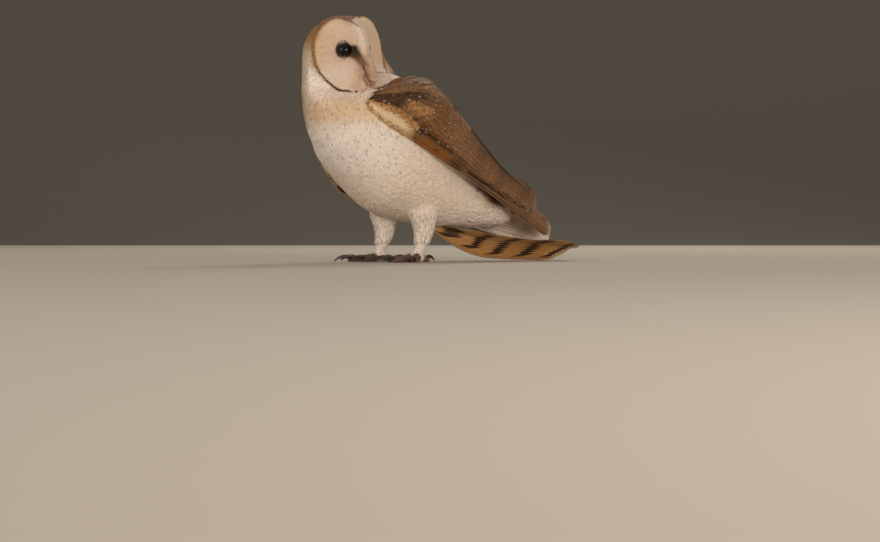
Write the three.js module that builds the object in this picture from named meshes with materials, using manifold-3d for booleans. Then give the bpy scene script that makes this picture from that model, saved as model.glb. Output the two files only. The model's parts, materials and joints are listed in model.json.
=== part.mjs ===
// A life-size barn owl, standing on both feet with its head turned over its left shoulder.
// Millimetres. The owl faces -Y, its left side is +X and +Z is up; the floor is z = 0.
// The group is placed so that the origin is the bottom centre of the owl's box.
import * as THREE from "three";
import { mergeVertices } from "three/addons/utils/BufferGeometryUtils.js";
import Module from "manifold-3d";

const wasm = await Module();
wasm.setup();

const { cos, sin, abs, sign, sqrt, exp, atan2, min, max, PI } = Math;
const { lerp, smoothstep, degToRad } = THREE.MathUtils;
const vec = (x, y, z) => new THREE.Vector3(x, y, z);

// ---- driving dimensions ----
const GAP = 0.3; // left between touching pieces
const FINEST = 0.09; // detail smaller than this is smoothed away
const ROLL = degToRad(7); // the trunk leans a little to the owl's right
const HEAD_AT = [0, -55, 207]; // middle of the head
const HEAD_TURN = degToRad(97); // face turned towards the owl's left
const HEAD_NOD = degToRad(2); // face tipped down
const HEAD_LEAN = degToRad(-6); // head tipped to the owl's right
const HEAD_BACK = 40; // from the head's middle to the nape
const DISC_HALF_WIDTH = 42; // the heart-shaped face
const DISC_TOP = 36;
const DISC_CHIN = 40;
const NOTCH_DEPTH = 7; // of the heart, between its two lobes
const CHEEK_PUSH = 0.22; // share by which the shoulder pushes out the left lower cheek
const RIDGE_WIDTH = 0.2; // of the face's midline, as a share of its half width
const EYE_RADIUS = 8.4;
const EYE_AT = [10.4, -14.4, 2]; // left eye's middle, in the head's frame
const TOE_RADIUS = 3.5;
const WING_EDGE = 1.8; // thickness of a wing at its edges
const STANCE = 25; // from the middle plane to each foot

// ---- solids ----
// A solid from points and triangles, turned outwards if it came inside out.
function solidOfPoints(points, triangles) {
  const vertProperties = new Float32Array(points.flatMap((p) => p.toArray()));
  const make = (corners) =>
    new wasm.Manifold(
      new wasm.Mesh({ numProp: 3, vertProperties, triVerts: new Uint32Array(corners) }),
    );
  const made = make(triangles);
  return made.volume() > 0 ? made : make(triangles.toReversed());
}

// A closed three.js geometry as a solid.
function solidOf(geometry) {
  const bare = geometry.clone();
  bare.deleteAttribute("normal");
  bare.deleteAttribute("uv");
  const { attributes, index } = mergeVertices(bare, 1e-4);
  const points = Array.from({ length: attributes.position.count }, (_, i) =>
    vec(0, 0, 0).fromBufferAttribute(attributes.position, i),
  );
  return solidOfPoints(points, [...index.array]);
}

// Triangles between two rings of point numbers, and a fan over one ring.
const bridge = (a, b) =>
  a.flatMap((from, i) => {
    const j = (i + 1) % a.length;
    return [from, a[j], b[i], a[j], b[j], b[i]];
  });
const capOver = (ring, middle) => ring.flatMap((a, i) => [a, ring[(i + 1) % ring.length], middle]);
const centreOf = (points) =>
  points.reduce((sum, p) => sum.add(p), vec(0, 0, 0)).divideScalar(points.length);

// A closed skin over a row of rings that have the same number of points.
function loft(rings) {
  const around = rings[0].length;
  const numbers = rings.map((_, row) => Array.from({ length: around }, (_, i) => row * around + i));
  const points = [...rings.flat(), centreOf(rings[0]), centreOf(rings.at(-1))];
  const triangles = numbers.slice(1).flatMap((next, row) => bridge(numbers[row], next));
  triangles.push(...capOver(numbers[0].toReversed(), points.length - 2));
  triangles.push(...capOver(numbers.at(-1), points.length - 1));
  return solidOfPoints(points, triangles);
}

const largest = (solid) =>
  solid.decompose().reduce((best, piece) => (piece.volume() > best.volume() ? piece : best));

// Takes the neighbours' grown copies out of a solid and keeps its main piece.
const cutBy = (solid, ...neighbours) =>
  largest(neighbours.reduce((left, cut) => left.subtract(cut), solid));

// ---- rings ----
// A closed ring in the plane of two unit axes. Its four radii may differ, and power 2 is an ellipse.
function ring(middle, across, up, { left, right, top, bottom }, power, count) {
  return Array.from({ length: count }, (_, i) => {
    const turn = (2 * PI * i) / count;
    const c = sign(cos(turn)) * abs(cos(turn)) ** (2 / power);
    const s = sign(sin(turn)) * abs(sin(turn)) ** (2 / power);
    return middle
      .clone()
      .addScaledVector(across, c * (c > 0 ? left : right))
      .addScaledVector(up, s * (s > 0 ? top : bottom));
  });
}

// A smooth curve through rows of three numbers, as a function of 0 to 1.
function through(rows) {
  const curve = new THREE.CatmullRomCurve3(rows.map((r) => vec(...r)), false, "centripetal");
  return (t) => curve.getPoint(t);
}

// The shares 0 to 1 of a row of steps.
const shares = (steps) => Array.from({ length: steps + 1 }, (_, i) => i / steps);

// Which way a curve runs at a share of its length.
const heading = (curve, t, reach = 0.01) =>
  curve(min(1, t + reach)).sub(curve(max(0, t - reach))).normalize();

// ---- trunk and neck ----
// Trunk stations: [y, z, half width, radius towards the belly, radius towards the back].
const TRUNK = [
  [-55, 161, 36, 38, 37],
  [-43, 149, 54, 57, 55],
  [-22, 126, 57, 60, 63],
  [4, 103, 56, 61, 65],
  [34, 82, 48, 49, 60],
  [64, 65, 38, 33, 50],
  [96, 54, 27, 20, 37],
  [122, 47, 17, 12, 24],
  [138, 44, 7, 5, 9],
];
// Neck stations: [y, z, left, right, front and back radius].
const NECK = [
  [-56, 227, 0, 29, 31, 31],
  [-55, 216, 0, 39, 41, 41],
  [-54, 206, 1, 41, 43, 45],
  [-51, 192, 2, 43, 46, 53],
  [-49, 178, 4, 46, 48, 59],
  [-47, 166, 18, 49, 50, 62],
  [-44, 155, 44, 52, 52, 62],
  [-41, 144, 52, 54, 53, 61],
  [-37, 133, 51, 53, 54, 55],
  [-32, 122, 48, 50, 57, 46],
  [-25, 109, 38, 40, 55, 34],
];

// The trunk's rings stand square to a spine in the owl's middle plane.
function trunkLoft(grow = 0) {
  const spine = through(TRUNK.map(([y, z]) => [0, y, z]));
  const size = through(TRUNK.map(([, , side, belly, back]) => [side, belly, back]));
  const across = vec(cos(ROLL), 0, sin(ROLL));
  return loft(
    shares(15).map((t) => {
      const up = vec(0, 0, 0).crossVectors(heading(spine, t), across).negate().normalize();
      if (up.z < 0) up.negate();
      const { x: side, y: belly, z: back } = size(t).addScalar(grow);
      const radii = { left: side, right: side, top: back, bottom: belly };
      return ring(spine(t), across, up, radii, 2.15, 26);
    }),
  );
}

// The neck's rings are level.
function neckLoft(grow = 0) {
  const place = through(NECK.map(([y, z, left]) => [left, y, z]));
  const others = through(NECK.map((station) => station.slice(3)));
  return loft(
    shares(13).map((t) => {
      const { x: left, y, z } = place(t);
      const { x: right, y: front, z: back } = others(t).addScalar(grow);
      const radii = { left: left + grow, right, top: back, bottom: front };
      return ring(vec(0, y, z), vec(1, 0, 0), vec(0, 1, 0), radii, 2.1, 28);
    }),
  );
}

// ---- head, in its own frame: face towards -y, owl's left +x ----
// A point of the face's outline at a turn from the owl's left. The shallow notch of the heart is
// at the top, and a higher power makes squarer upper lobes.
function discOutline(turn, notch = NOTCH_DEPTH, power = sin(turn) > 0 ? 2.5 : 2.05) {
  const [across, up] = [cos(turn), sin(turn)];
  const dip = notch * exp(-(((turn - PI / 2) / 0.2) ** 2));
  const narrow = up < 0 ? 1 - 0.08 * up * up : 1;
  const pushed = up < 0 && across > 0 ? 1 + CHEEK_PUSH * (2 * across * up) ** 2 : 1;
  const tall = up > 0 ? DISC_TOP - dip : DISC_CHIN;
  return {
    x: DISC_HALF_WIDTH * sign(across) * abs(across) ** (2 / power) * narrow * pushed,
    z: tall * sign(up) * abs(up) ** (2 / power) * pushed,
  };
}

// The face's midline from chin to crown: [forwards is negative, height].
const ridgeProfile = through([
  [-22, -44, 0],
  [-30, -36, 0],
  [-38, -22, 0],
  [-39.5, -8, 0],
  [-38.5, 6, 0],
  [-33, 20, 0],
  [-26, 30, 0],
  [-16, 38, 0],
]);

// How far forward the midline stands at a height on the face.
function ridgeAt(height) {
  const table = Array.from({ length: 41 }, (_, i) => ridgeProfile(i / 40));
  const above = max(1, table.findIndex((p) => p.y >= height));
  const [a, b] = [table[above - 1], table[above]];
  return lerp(a.x, b.x, (height - a.y) / (b.y - a.y));
}

// The rim of the face lies furthest back at the sides.
const rimDepth = (turn) => -7 - (sin(turn) > 0 ? 6 : 11) * sin(turn) ** 2;

// The face between the midline and the rim: a rounded ridge, a flatter part around the eye and
// a hollow towards the rim.
function faceDepth(x, z, share, turn) {
  const width = DISC_HALF_WIDTH * sqrt(max(0.03, 1 - (z / (DISC_CHIN + 2)) ** 2));
  const out = min(1, (sqrt((x / width) ** 2 + 0.004) - 0.063) / 0.937);
  const fall = 0.52 * (1 - out) + 0.48 * exp(-((out / RIDGE_WIDTH) ** 2.6));
  const hollow = 2.5 * 4 * out * (1 - out) * exp(-(((z + 2) / 30) ** 2));
  const inner = lerp(rimDepth(turn), ridgeAt(z), fall) + hollow;
  return lerp(inner, rimDepth(turn), smoothstep(share, 0.82, 1));
}

const FACE_COLUMNS = 16;
const FACE_ROWS = 12;

// A place of the face's square grid, drawn out to the outline, with columns closest at the midline.
function facePlace(column, row) {
  const a = (2 * column) / FACE_COLUMNS - 1;
  const s = sign(a) * abs(a) ** 1.35;
  const t = (2 * row) / FACE_ROWS - 1;
  const [across, up] = [s * sqrt(1 - (t * t) / 2), t * sqrt(1 - (s * s) / 2)];
  const share = min(1, sqrt(across * across + up * up));
  const angle = atan2(up, across);
  const turn = angle < -PI / 2 ? angle + 2 * PI : angle;
  const outline = discOutline(turn);
  const [x, z] = [outline.x * share, outline.z * share];
  return { turn, point: vec(x, faceDepth(x, z, share, turn), z) };
}

// The point numbers round the edge of the face's grid.
function faceEdge(number) {
  const columns = Array.from({ length: FACE_COLUMNS }, (_, i) => i);
  const rows = Array.from({ length: FACE_ROWS }, (_, i) => i);
  return [
    ...columns.map((i) => number(i, 0)),
    ...rows.map((i) => number(FACE_COLUMNS, i)),
    ...columns.map((i) => number(FACE_COLUMNS - i, FACE_ROWS)),
    ...rows.map((i) => number(0, FACE_ROWS - i)),
  ];
}

// The face's grid, and the skull in rings from the face's edge to the nape.
function headSolid() {
  const number = (column, row) => row * (FACE_COLUMNS + 1) + column;
  const places = [];
  const triangles = [];
  for (let row = 0; row <= FACE_ROWS; row++)
    for (let column = 0; column <= FACE_COLUMNS; column++) places.push(facePlace(column, row));
  for (let row = 0; row < FACE_ROWS; row++) {
    for (let column = 0; column < FACE_COLUMNS; column++) {
      const [a, b] = [number(column, row), number(column + 1, row)];
      const [c, d] = [number(column, row + 1), number(column + 1, row + 1)];
      const leans = (2 * column < FACE_COLUMNS) === (2 * row < FACE_ROWS);
      triangles.push(...(leans ? [a, b, d, a, d, c] : [a, b, c, b, d, c]));
    }
  }
  const points = places.map((place) => place.point);
  let edge = faceEdge(number);
  const turns = edge.map((i) => places[i].turn);
  for (const lift of [7, 19, 34, 49, 64, 78].map(degToRad)) {
    const next = turns.map((_, i) => points.length + i);
    for (const turn of turns) {
      const above = sin(turn) > 0;
      const power = above ? max(1.95, 2.5 - 1.4 * sin(lift)) : 2.05;
      const { x, z } = discOutline(turn, NOTCH_DEPTH * max(0, 1 - 4 * sin(lift)), power);
      const swell = 1 + sin(2 * lift) * lerp(0.03, above ? 0.13 : 0, sin(turn) ** 2);
      const narrow = swell * cos(lift) ** 0.85;
      points.push(vec(x * narrow, lerp(rimDepth(turn), HEAD_BACK, sin(lift)), z * narrow));
    }
    triangles.push(...bridge(next, edge));
    edge = next;
  }
  points.push(vec(0, HEAD_BACK, 0));
  triangles.push(...capOver(edge.toReversed(), points.length - 1));
  return solidOfPoints(points, triangles);
}

const headFrame = new THREE.Matrix4().compose(
  vec(...HEAD_AT),
  new THREE.Quaternion().setFromEuler(new THREE.Euler(HEAD_NOD, HEAD_LEAN, HEAD_TURN, "ZYX")),
  vec(1, 1, 1),
);
const inHeadPlace = (solid) => solid.transform(headFrame.elements);

// An eye, or its socket when grown.
const eyeBall = (side, grow = 0) => {
  const [x, y, z] = EYE_AT;
  const ball = solidOf(new THREE.SphereGeometry(EYE_RADIUS + grow, 14, 8));
  return ball.translate([side * x, y, z]);
};

// A tapering horn along a curve: rows are [x, y, z], sizes are [half width, half depth].
function horn(rows, sizes, { grow = 0, count = 10, steps = 10 } = {}) {
  const path = through(rows);
  const size = through(sizes.map(([a, b]) => [a, b, 0]));
  return loft(
    shares(steps).map((t) => {
      const ahead = heading(path, t);
      const side = vec(1, 0, 0).addScaledVector(ahead, -ahead.x).normalize();
      const up = vec(0, 0, 0).crossVectors(ahead, side);
      const { x: a, y: b } = size(t);
      const radii = { left: a + grow, right: a + grow, top: b + grow, bottom: b + grow };
      return ring(path(t), side, up, radii, 2, count);
    }),
  );
}

const upperBill = (grow) =>
  horn(
    [[0, -33, -12], [0, -39, -15.5], [0, -43.5, -22], [0, -44, -29], [0, -41.5, -36]],
    [[4, 4], [5.2, 5], [4.8, 4.8], [3.2, 3.6], [0.5, 0.6]],
    { grow, steps: 8 },
  );
const lowerBill = (grow) =>
  horn(
    [[0, -31, -23], [0, -35.5, -27], [0, -38.4, -31.5], [0, -39.4, -34.4]],
    [[3.4, 2.6], [3.6, 2.8], [2.6, 2], [0.8, 0.5]],
    { grow, steps: 5 },
  );

// ---- wings ----
// The folded arm with its coverts and secondaries. Each station is
// [leading edge x, y, z, back edge x, y, z, bulge, thickness].
const LEFT_WING = [
  [50, -60, 157, 47, -44, 168, 4, 8],
  [55, -50, 143, 44, -18, 176, 9, 14],
  [59, -32, 130, 34, 14, 181, 15, 20],
  [61, -4, 116, 22, 42, 171, 19, 24],
  [59, 28, 99, 13, 76, 140, 18, 22],
  [53, 60, 84, 8, 105, 112, 14, 16],
  [44, 92, 71, 6, 130, 92, 9, 10],
  [34, 122, 58, 6, 150, 83, 6, 6],
  [27, 142, 51, 9, 160, 73, 4, 4],
  [22, 154, 49, 13, 165, 62, 2.5, 3],
];
// The long outer flight feathers, showing below and beyond the secondaries.
const LEFT_PRIMARIES = [
  [57, 24, 101, 44, 38, 112, 2, 4],
  [52, 56, 86, 34, 76, 99, 4, 6],
  [43, 92, 68, 22, 110, 84, 4, 6],
  [33, 128, 49, 14, 144, 67, 3.5, 5],
  [26, 152, 37, 11, 166, 53, 2.5, 4],
  [22, 168, 30, 12, 176, 44, 1.5, 3],
  [19, 178, 30, 15, 180, 38, 1, 2],
];
// The right wing is the left one mirrored. It hangs lower, most of all along its leading edge.
const ARM_DROOP = [32, 33, 44, 52, 46, 32, 21, 13, 10, 9];
const RIGHT_WING = LEFT_WING.map(([x, y, z, backX, backY, backZ, bulge, thick], i) => {
  const fall = ARM_DROOP[i];
  const edge = [-x, y - fall / 4, z - fall];
  const back = [-backX - 0.2 * fall, backY, backZ - 5 - 16 * exp(-i / 2.2)];
  return [...edge, ...back, bulge + 0.06 * fall, thick];
});
// How far each station of the right primaries lies [outwards, backwards, upwards] of its
// mirror image.
const FAN_SHIFT = [
  [-1, -12, -41],
  [-1, -6, -36],
  [-1, -2, -26],
  [-2, 2, -18],
  [-7, 10, -15],
  [-11, 14, -14],
  [-12, 13, -14],
];
const RIGHT_PRIMARIES = LEFT_PRIMARIES.map(([x, y, z, backX, backY, backZ, ...form], i) => {
  const [outwards, backwards, upwards] = FAN_SHIFT[i];
  const edge = [-x - outwards, y + backwards, z + upwards];
  const back = [-backX - outwards, backY + backwards, backZ + upwards + 2];
  return [...edge, ...back, ...form];
});

// A folded wing: a curved slab whose outer face bulges away from the body's middle line.
function wingLoft(stations, { grow = 0, rows = 16, across = 8 } = {}) {
  const edge = through(stations.map((s) => s.slice(0, 3)));
  const back = through(stations.map((s) => s.slice(3, 6)));
  const form = through(stations.map((s) => [s[6], s[7], 0]));
  const side = sign(stations[0][0]);
  const lip = WING_EDGE / 2 + grow;
  return loft(
    shares(rows).map((t) => {
      const along = heading(edge, t, 0.02);
      const reach = back(t).sub(edge(t)).setLength(grow);
      const low = edge(t).sub(reach).addScaledVector(along, grow * (2 * t - 1));
      const high = back(t).add(reach).addScaledVector(along, grow * (2 * t - 1));
      const { x: bulge, y: thick } = form(t);
      const out = vec(0, 0, 0).crossVectors(along, high.clone().sub(low)).normalize();
      if (out.x * side < 0) out.negate();
      const face = (depth, height) =>
        shares(across - 1).map((share) => {
          const arch = 4 * share * (1 - share);
          const away = bulge * arch - depth * arch ** 0.6 + height;
          return low.clone().lerp(high, share).addScaledVector(out, away);
        });
      return [...face(0, lip), ...face(thick, -lip).toReversed()];
    }),
  );
}

// ---- tail ----
// Each station is [y, z of the middle, half width, tilt in degrees, arch, half thickness].
const TAIL = [
  [46, 38, 15, 16, 3, 6],
  [62, 31.5, 22, 20, 4, 5.5],
  [88, 24, 28, 22, 5, 4.2],
  [116, 18.5, 32, 21, 6, 3.2],
  [148, 15.5, 34, 19, 7, 2.2],
  [178, 14.2, 36, 18, 6, 1.7],
  [198, 12.8, 35, 17, 5, 1.3],
  [210, 11, 28, 15, 4, 1],
  [217, 9.8, 15, 14, 3, 0.8],
];
function tailLoft() {
  const place = through(TAIL.map(([y, z, half]) => [half, y, z]));
  const form = through(TAIL.map((station) => station.slice(3)));
  return loft(
    shares(11).map((t) => {
      const { x: half, y, z } = place(t);
      const { x: tilt, y: arch, z: thick } = form(t);
      const lean = degToRad(tilt);
      const face = (lift) =>
        shares(6).map((part) => {
          const share = 2 * part - 1;
          const flat = share * half;
          const height = arch * (0.5 - share * share) + lift * (1 - 0.5 * share * share);
          const [level, rise] = [cos(lean), sin(lean)];
          return vec(flat * level - height * rise, y, z + flat * rise + height * level);
        });
      return [...face(thick), ...face(-thick).toReversed()];
    }),
  );
}

// ---- legs, feet and claws ----
const LEGS = [
  { name: "left", x: STANCE, y: 14, side: 1 },
  { name: "right", x: -STANCE, y: -2, side: -1 },
];
// Thigh and feathered shank, down to the ball of the foot.
function legLoft({ x, y }, grow = 0) {
  const rows = [
    [x * 0.8, y + 8, 84],
    [x * 0.9, y + 8, 66],
    [x, y + 6, 50],
    [x, y + 7, 34],
    [x, y + 4, 19],
    [x, y, 9],
    [x, y, -2],
  ];
  const sizes = [[15, 18], [17, 21], [13, 16], [8.8, 10.5], [6.2, 6.8], [6, 6.4], [5, 5.4]];
  return horn(rows, sizes, { grow, count: 12, steps: 11 });
}

// Turned from straight ahead in degrees, inwards being positive.
const TOES = [
  { name: "middle", turn: -6, length: 33, claw: 17 },
  { name: "inner", turn: 26, length: 30, claw: 17 },
  { name: "outer", turn: -52, length: 28, claw: 15 },
  { name: "hind", turn: 152, length: 19, claw: 14 },
];

// A point at a distance along a toe and a height, in the owl's frame.
function alongToe(leg, { turn }, distance, height) {
  const angle = degToRad(turn) * -leg.side;
  return [leg.x + sin(angle) * distance, leg.y - cos(angle) * distance, height];
}

function toeLoft(leg, toe, grow = 0) {
  const at = (share, height) => alongToe(leg, toe, share * toe.length, height);
  const path = through([at(0, 4.9), at(0.3, 4.6), at(0.62, 4), at(1, 3.1)]);
  return loft(
    shares(8).map((t) => {
      const knuckle = 1 + 0.1 * cos(6 * PI * t);
      const tip = sqrt(max(0.03, 1 - max(0, (t - 0.86) / 0.14) ** 2));
      const radius = lerp(TOE_RADIUS * 1.12, TOE_RADIUS * 0.8, t) * knuckle * tip + grow;
      const ahead = heading(path, t);
      const across = vec(-ahead.y, ahead.x, 0).normalize();
      const radii = { left: radius, right: radius, top: radius, bottom: radius * 1.25 };
      return ring(path(t), across, vec(0, 0, 1), radii, 2, 7);
    }),
  );
}

function clawLoft(leg, toe, grow = 0) {
  const at = (share, height) => alongToe(leg, toe, toe.length + share * toe.claw, height);
  const path = through([at(-0.2, 4), at(0.18, 5.4), at(0.5, 5), at(0.78, 3), at(0.94, 0.7)]);
  return loft(
    shares(6).map((t) => {
      const ahead = heading(path, t, 0.02);
      const across = vec(-ahead.y, ahead.x, 0).normalize();
      const up = vec(0, 0, 0).crossVectors(ahead, across);
      const radius = lerp(2.3, 0.35, t ** 1.3) + grow;
      const radii = { left: radius * 0.8, right: radius * 0.8, top: radius, bottom: radius };
      return ring(path(t), across, up, radii, 2, 6);
    }),
  );
}

// ---- the pieces, cut clear of each other ----
const block = (width, depth, height) => solidOf(new THREE.BoxGeometry(width, depth, height));
const underFloor = block(600, 800, 400).translate([0, 0, -200]);
// Everything above a sloping cut through the middle of the neck, [height, slope in degrees].
const above = ([height, slope], clearance = 0) =>
  block(400, 400, 200)
    .translate([0, 0, 100 + clearance])
    .rotate([slope, 0, 0])
    .translate([0, -50, height]);
const HEAD_CUT = [167, 4];
const NECK_CUT = [149, -8];

const openings = [eyeBall(1, GAP), eyeBall(-1, GAP), upperBill(GAP), lowerBill(GAP)];
const whole = inHeadPlace(headSolid()).add(neckLoft()).add(trunkLoft());
const body = cutBy(whole, ...openings.map(inHeadPlace));
const grownHead = inHeadPlace(headSolid().scale(1.012));
const bodyGrown = grownHead.add(neckLoft(1.4 * GAP)).add(trunkLoft(1.4 * GAP));

const pieces = new Map();
pieces.set("head", largest(body.intersect(above(HEAD_CUT, GAP / 2))));
pieces.set("neck", cutBy(body.intersect(above(NECK_CUT, GAP / 2)), above(HEAD_CUT, -GAP / 2)));
pieces.set("trunk", cutBy(body, above(NECK_CUT, -GAP / 2)));
pieces.set("eye_left", inHeadPlace(eyeBall(1)));
pieces.set("eye_right", inHeadPlace(eyeBall(-1)));
pieces.set("bill_upper", inHeadPlace(upperBill(0)));
pieces.set("bill_lower", cutBy(inHeadPlace(lowerBill(0)), inHeadPlace(upperBill(GAP))));

const ARMS = { left: LEFT_WING, right: RIGHT_WING };
const FANS = { left: LEFT_PRIMARIES, right: RIGHT_PRIMARIES };
const FAN_GRID = { across: 5, rows: 12 };
const wingsGrown = Object.values(ARMS).map((stations) => wingLoft(stations, { grow: GAP }));
for (const [side, stations] of Object.entries(ARMS))
  pieces.set(`wing_${side}`, cutBy(wingLoft(stations), bodyGrown));
for (const [side, stations] of Object.entries(FANS))
  pieces.set(`primaries_${side}`, cutBy(wingLoft(stations, FAN_GRID), bodyGrown, ...wingsGrown));
for (const stations of Object.values(FANS))
  wingsGrown.push(wingLoft(stations, { grow: GAP, ...FAN_GRID }));
pieces.set("tail", cutBy(tailLoft(), bodyGrown, ...wingsGrown, underFloor));

for (const leg of LEGS) {
  pieces.set(`leg_${leg.name}`, cutBy(legLoft(leg), bodyGrown, ...wingsGrown, underFloor));
  const cutters = [legLoft(leg, GAP), underFloor];
  for (const toe of TOES) {
    const solid = cutBy(toeLoft(leg, toe), clawLoft(leg, toe, GAP), ...cutters);
    pieces.set(`toe_${leg.name}_${toe.name}`, solid);
    cutters.push(toeLoft(leg, toe, GAP));
  }
  for (const toe of TOES)
    pieces.set(`claw_${leg.name}_${toe.name}`, cutBy(clawLoft(leg, toe), underFloor));
}

// ---- materials and meshes ----
const finish = (color, roughness) => new THREE.MeshStandardMaterial({ color, roughness });
const MATERIALS = {
  head: finish("#d9bf9f", 0.9),
  neck: finish("#dcc6ab", 0.9),
  trunk: finish("#e2cfb8", 0.9),
  wing: finish("#8a6238", 0.9),
  primaries: finish("#7a5028", 0.9),
  tail: finish("#a0733f", 0.9),
  leg: finish("#dcc8b0", 0.9),
  toe: finish("#7a6456", 0.7),
  claw: finish("#3a322e", 0.4),
  eye: finish("#140c06", 0.08),
  bill: finish("#d9b7a0", 0.45),
};
const owl = new THREE.Group();
for (const [name, whole] of pieces) {
  const { numProp, vertProperties, triVerts } = largest(whole.simplify(FINEST)).getMesh();
  const corners = new THREE.InterleavedBuffer(vertProperties, numProp);
  const geometry = new THREE.BufferGeometry();
  geometry.setAttribute("position", new THREE.InterleavedBufferAttribute(corners, 3, 0));
  geometry.setIndex(new THREE.BufferAttribute(triVerts, 1));
  const mesh = new THREE.Mesh(geometry, MATERIALS[name.split("_")[0]]);
  mesh.name = name;
  owl.add(mesh);
}
const box = new THREE.Box3().setFromObject(owl);
const middle = box.getCenter(vec(0, 0, 0));
owl.position.set(-middle.x, -middle.y, -box.min.z);

export default owl;
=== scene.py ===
# %% [markdown]
# # A barn owl in feathers
# The solids of this owl are already in place: head, neck, trunk, wings, tail, legs, toes and
# claws. This lesson dresses them. One skin is made from the fleshy solids, then a coat of
# thousands of thin vanes grows on it, then the big wing and tail feathers, the eyes and the bill.
# First the frame is loaded.

import json
import math

import bmesh
import bpy
import numpy as np
from mathutils import Matrix, Vector
from mathutils.bvhtree import BVHTree
from mathutils.kdtree import KDTree


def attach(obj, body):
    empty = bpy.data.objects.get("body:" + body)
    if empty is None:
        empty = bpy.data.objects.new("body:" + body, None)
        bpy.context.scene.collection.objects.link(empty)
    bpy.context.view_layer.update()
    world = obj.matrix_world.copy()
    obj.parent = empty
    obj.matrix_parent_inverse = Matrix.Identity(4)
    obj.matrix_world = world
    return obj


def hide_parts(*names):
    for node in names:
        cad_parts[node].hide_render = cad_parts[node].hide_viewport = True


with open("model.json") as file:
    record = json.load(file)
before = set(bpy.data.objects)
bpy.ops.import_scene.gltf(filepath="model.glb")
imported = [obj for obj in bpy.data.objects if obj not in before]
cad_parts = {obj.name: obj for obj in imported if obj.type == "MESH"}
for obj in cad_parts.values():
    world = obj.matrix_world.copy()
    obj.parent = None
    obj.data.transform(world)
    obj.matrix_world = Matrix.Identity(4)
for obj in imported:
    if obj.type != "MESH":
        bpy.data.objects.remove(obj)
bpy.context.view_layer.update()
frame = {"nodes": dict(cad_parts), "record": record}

# %% [markdown]
# Lengths on a bird are easiest to think of in millimetres, measured from a point under the
# middle of its feet. The sole of the left foot is a known place in the record, so it gives the
# step from the owl's own millimetres to the frame's metres.

# %% The owl's own millimetres
MM = 0.001
LEFT_FOOT = np.array([25.0, 14.0, 0.0])
sole = next(m for m in frame["record"]["mounts"] if m["name"] == "left_sole")
ORIGIN = np.array(sole["pos_m"]) / MM - LEFT_FOOT


def to_frame(points):
    return (np.asarray(points) + ORIGIN) * MM


def to_owl(points):
    return np.asarray(points) / MM - ORIGIN


# %% [markdown]
# The camera stands low on the owl's left, a little in front of it, so that the face, the left
# wing and the underside of the raised tail edge are all seen.

# %% Camera


def placed(name, data):
    """A new object of this data, put into the scene."""
    obj = bpy.data.objects.new(name, data)
    bpy.context.collection.objects.link(obj)
    return obj


camera = placed("camera", bpy.data.cameras.new("camera"))
bpy.context.scene.camera = camera
camera.data.sensor_width = 36
camera.data.lens = 81.8
camera.location = to_frame([1732.05, -1000.0, 32.0])
aim = to_frame([23.5, 40.7, -9.0])
camera.rotation_euler = Vector(aim - np.array(camera.location)).to_track_quat("-Z", "Y").to_euler()
print("camera stands at", [round(v, 3) for v in camera.location])

# %% [markdown]
# Small helpers serve every piece: one turns a hex colour into the linear numbers that the shaders
# work with, one adds a node, four more build the nodes that come up again and again, one fades
# softly from 0 to 1, and one makes an object from points and faces.

# %% Helpers


def colour(code):
    parts = np.array([int(code[i : i + 2], 16) for i in (1, 3, 5)]) / 255
    return np.where(parts <= 0.04045, parts / 12.92, ((parts + 0.055) / 1.055) ** 2.4)


def rgba(code):
    return (*colour(code), 1)


def add_node(tree, kind, settings=None, **inputs):
    node = tree.nodes.new(kind)
    for name, value in (settings or {}).items():
        setattr(node, name, value)
    for name, value in inputs.items():
        key = int(name[1:]) if name[0] == "i" and name[1:].isdigit() else name.replace("_", " ")
        if isinstance(value, bpy.types.NodeSocket):
            tree.links.new(value, node.inputs[key])
        else:
            node.inputs[key].default_value = value
    return node


def new_material(name):
    material = bpy.data.materials.new(name)
    material.use_nodes = True
    material.node_tree.nodes.clear()
    return material, material.node_tree


def finish_material(tree, shader):
    add_node(tree, "ShaderNodeOutputMaterial", Surface=shader.outputs[0])


def noise(tree, scale, detail=3.0):
    """Noise in the object's own place, with this many waves to the metre."""
    place = add_node(tree, "ShaderNodeTexCoord").outputs["Object"]
    return add_node(tree, "ShaderNodeTexNoise", Vector=place, Scale=scale, Detail=detail).outputs[0]


def mapped(tree, value, start, end):
    """Maps the stretch start of a value onto the stretch end."""
    low, high = {"From_Min": start[0], "From_Max": start[1]}, {"To_Min": end[0], "To_Max": end[1]}
    return add_node(tree, "ShaderNodeMapRange", Value=value, **low, **high).outputs[0]


def reckon(tree, operation, *values):
    inputs = {f"i{i}": value for i, value in enumerate(values)}
    return add_node(tree, "ShaderNodeMath", {"operation": operation}, **inputs).outputs[0]


def mixed_colour(tree, share, first, second):
    mix = add_node(tree, "ShaderNodeMix", {"data_type": "RGBA"}, Factor=share, i6=first, i7=second)
    return mix.outputs[2]


def ramp(value, low, high):
    """0 below low, 1 above high, smooth between."""
    t = np.clip((value - low) / (high - low), 0, 1)
    return t * t * (3 - 2 * t)


def make_object(name, points, faces, material):
    mesh = bpy.data.meshes.new(name)
    mesh.from_pydata(to_frame(points).tolist(), [], faces)
    mesh.materials.append(material)
    mesh.shade_smooth()
    return placed(name, mesh)


# %% [markdown]
# The head has its own axes: x to the owl's left, -y out of the face, z up. The face is a heart.
# Its outline is a superellipse with a shallow notch at the top, and the left lower cheek is
# pushed outwards by the shoulder that the head turns over.

# %% Head's axes and the heart


def turned(axis, degrees):
    return np.array(Matrix.Rotation(math.radians(degrees), 3, axis))


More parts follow.
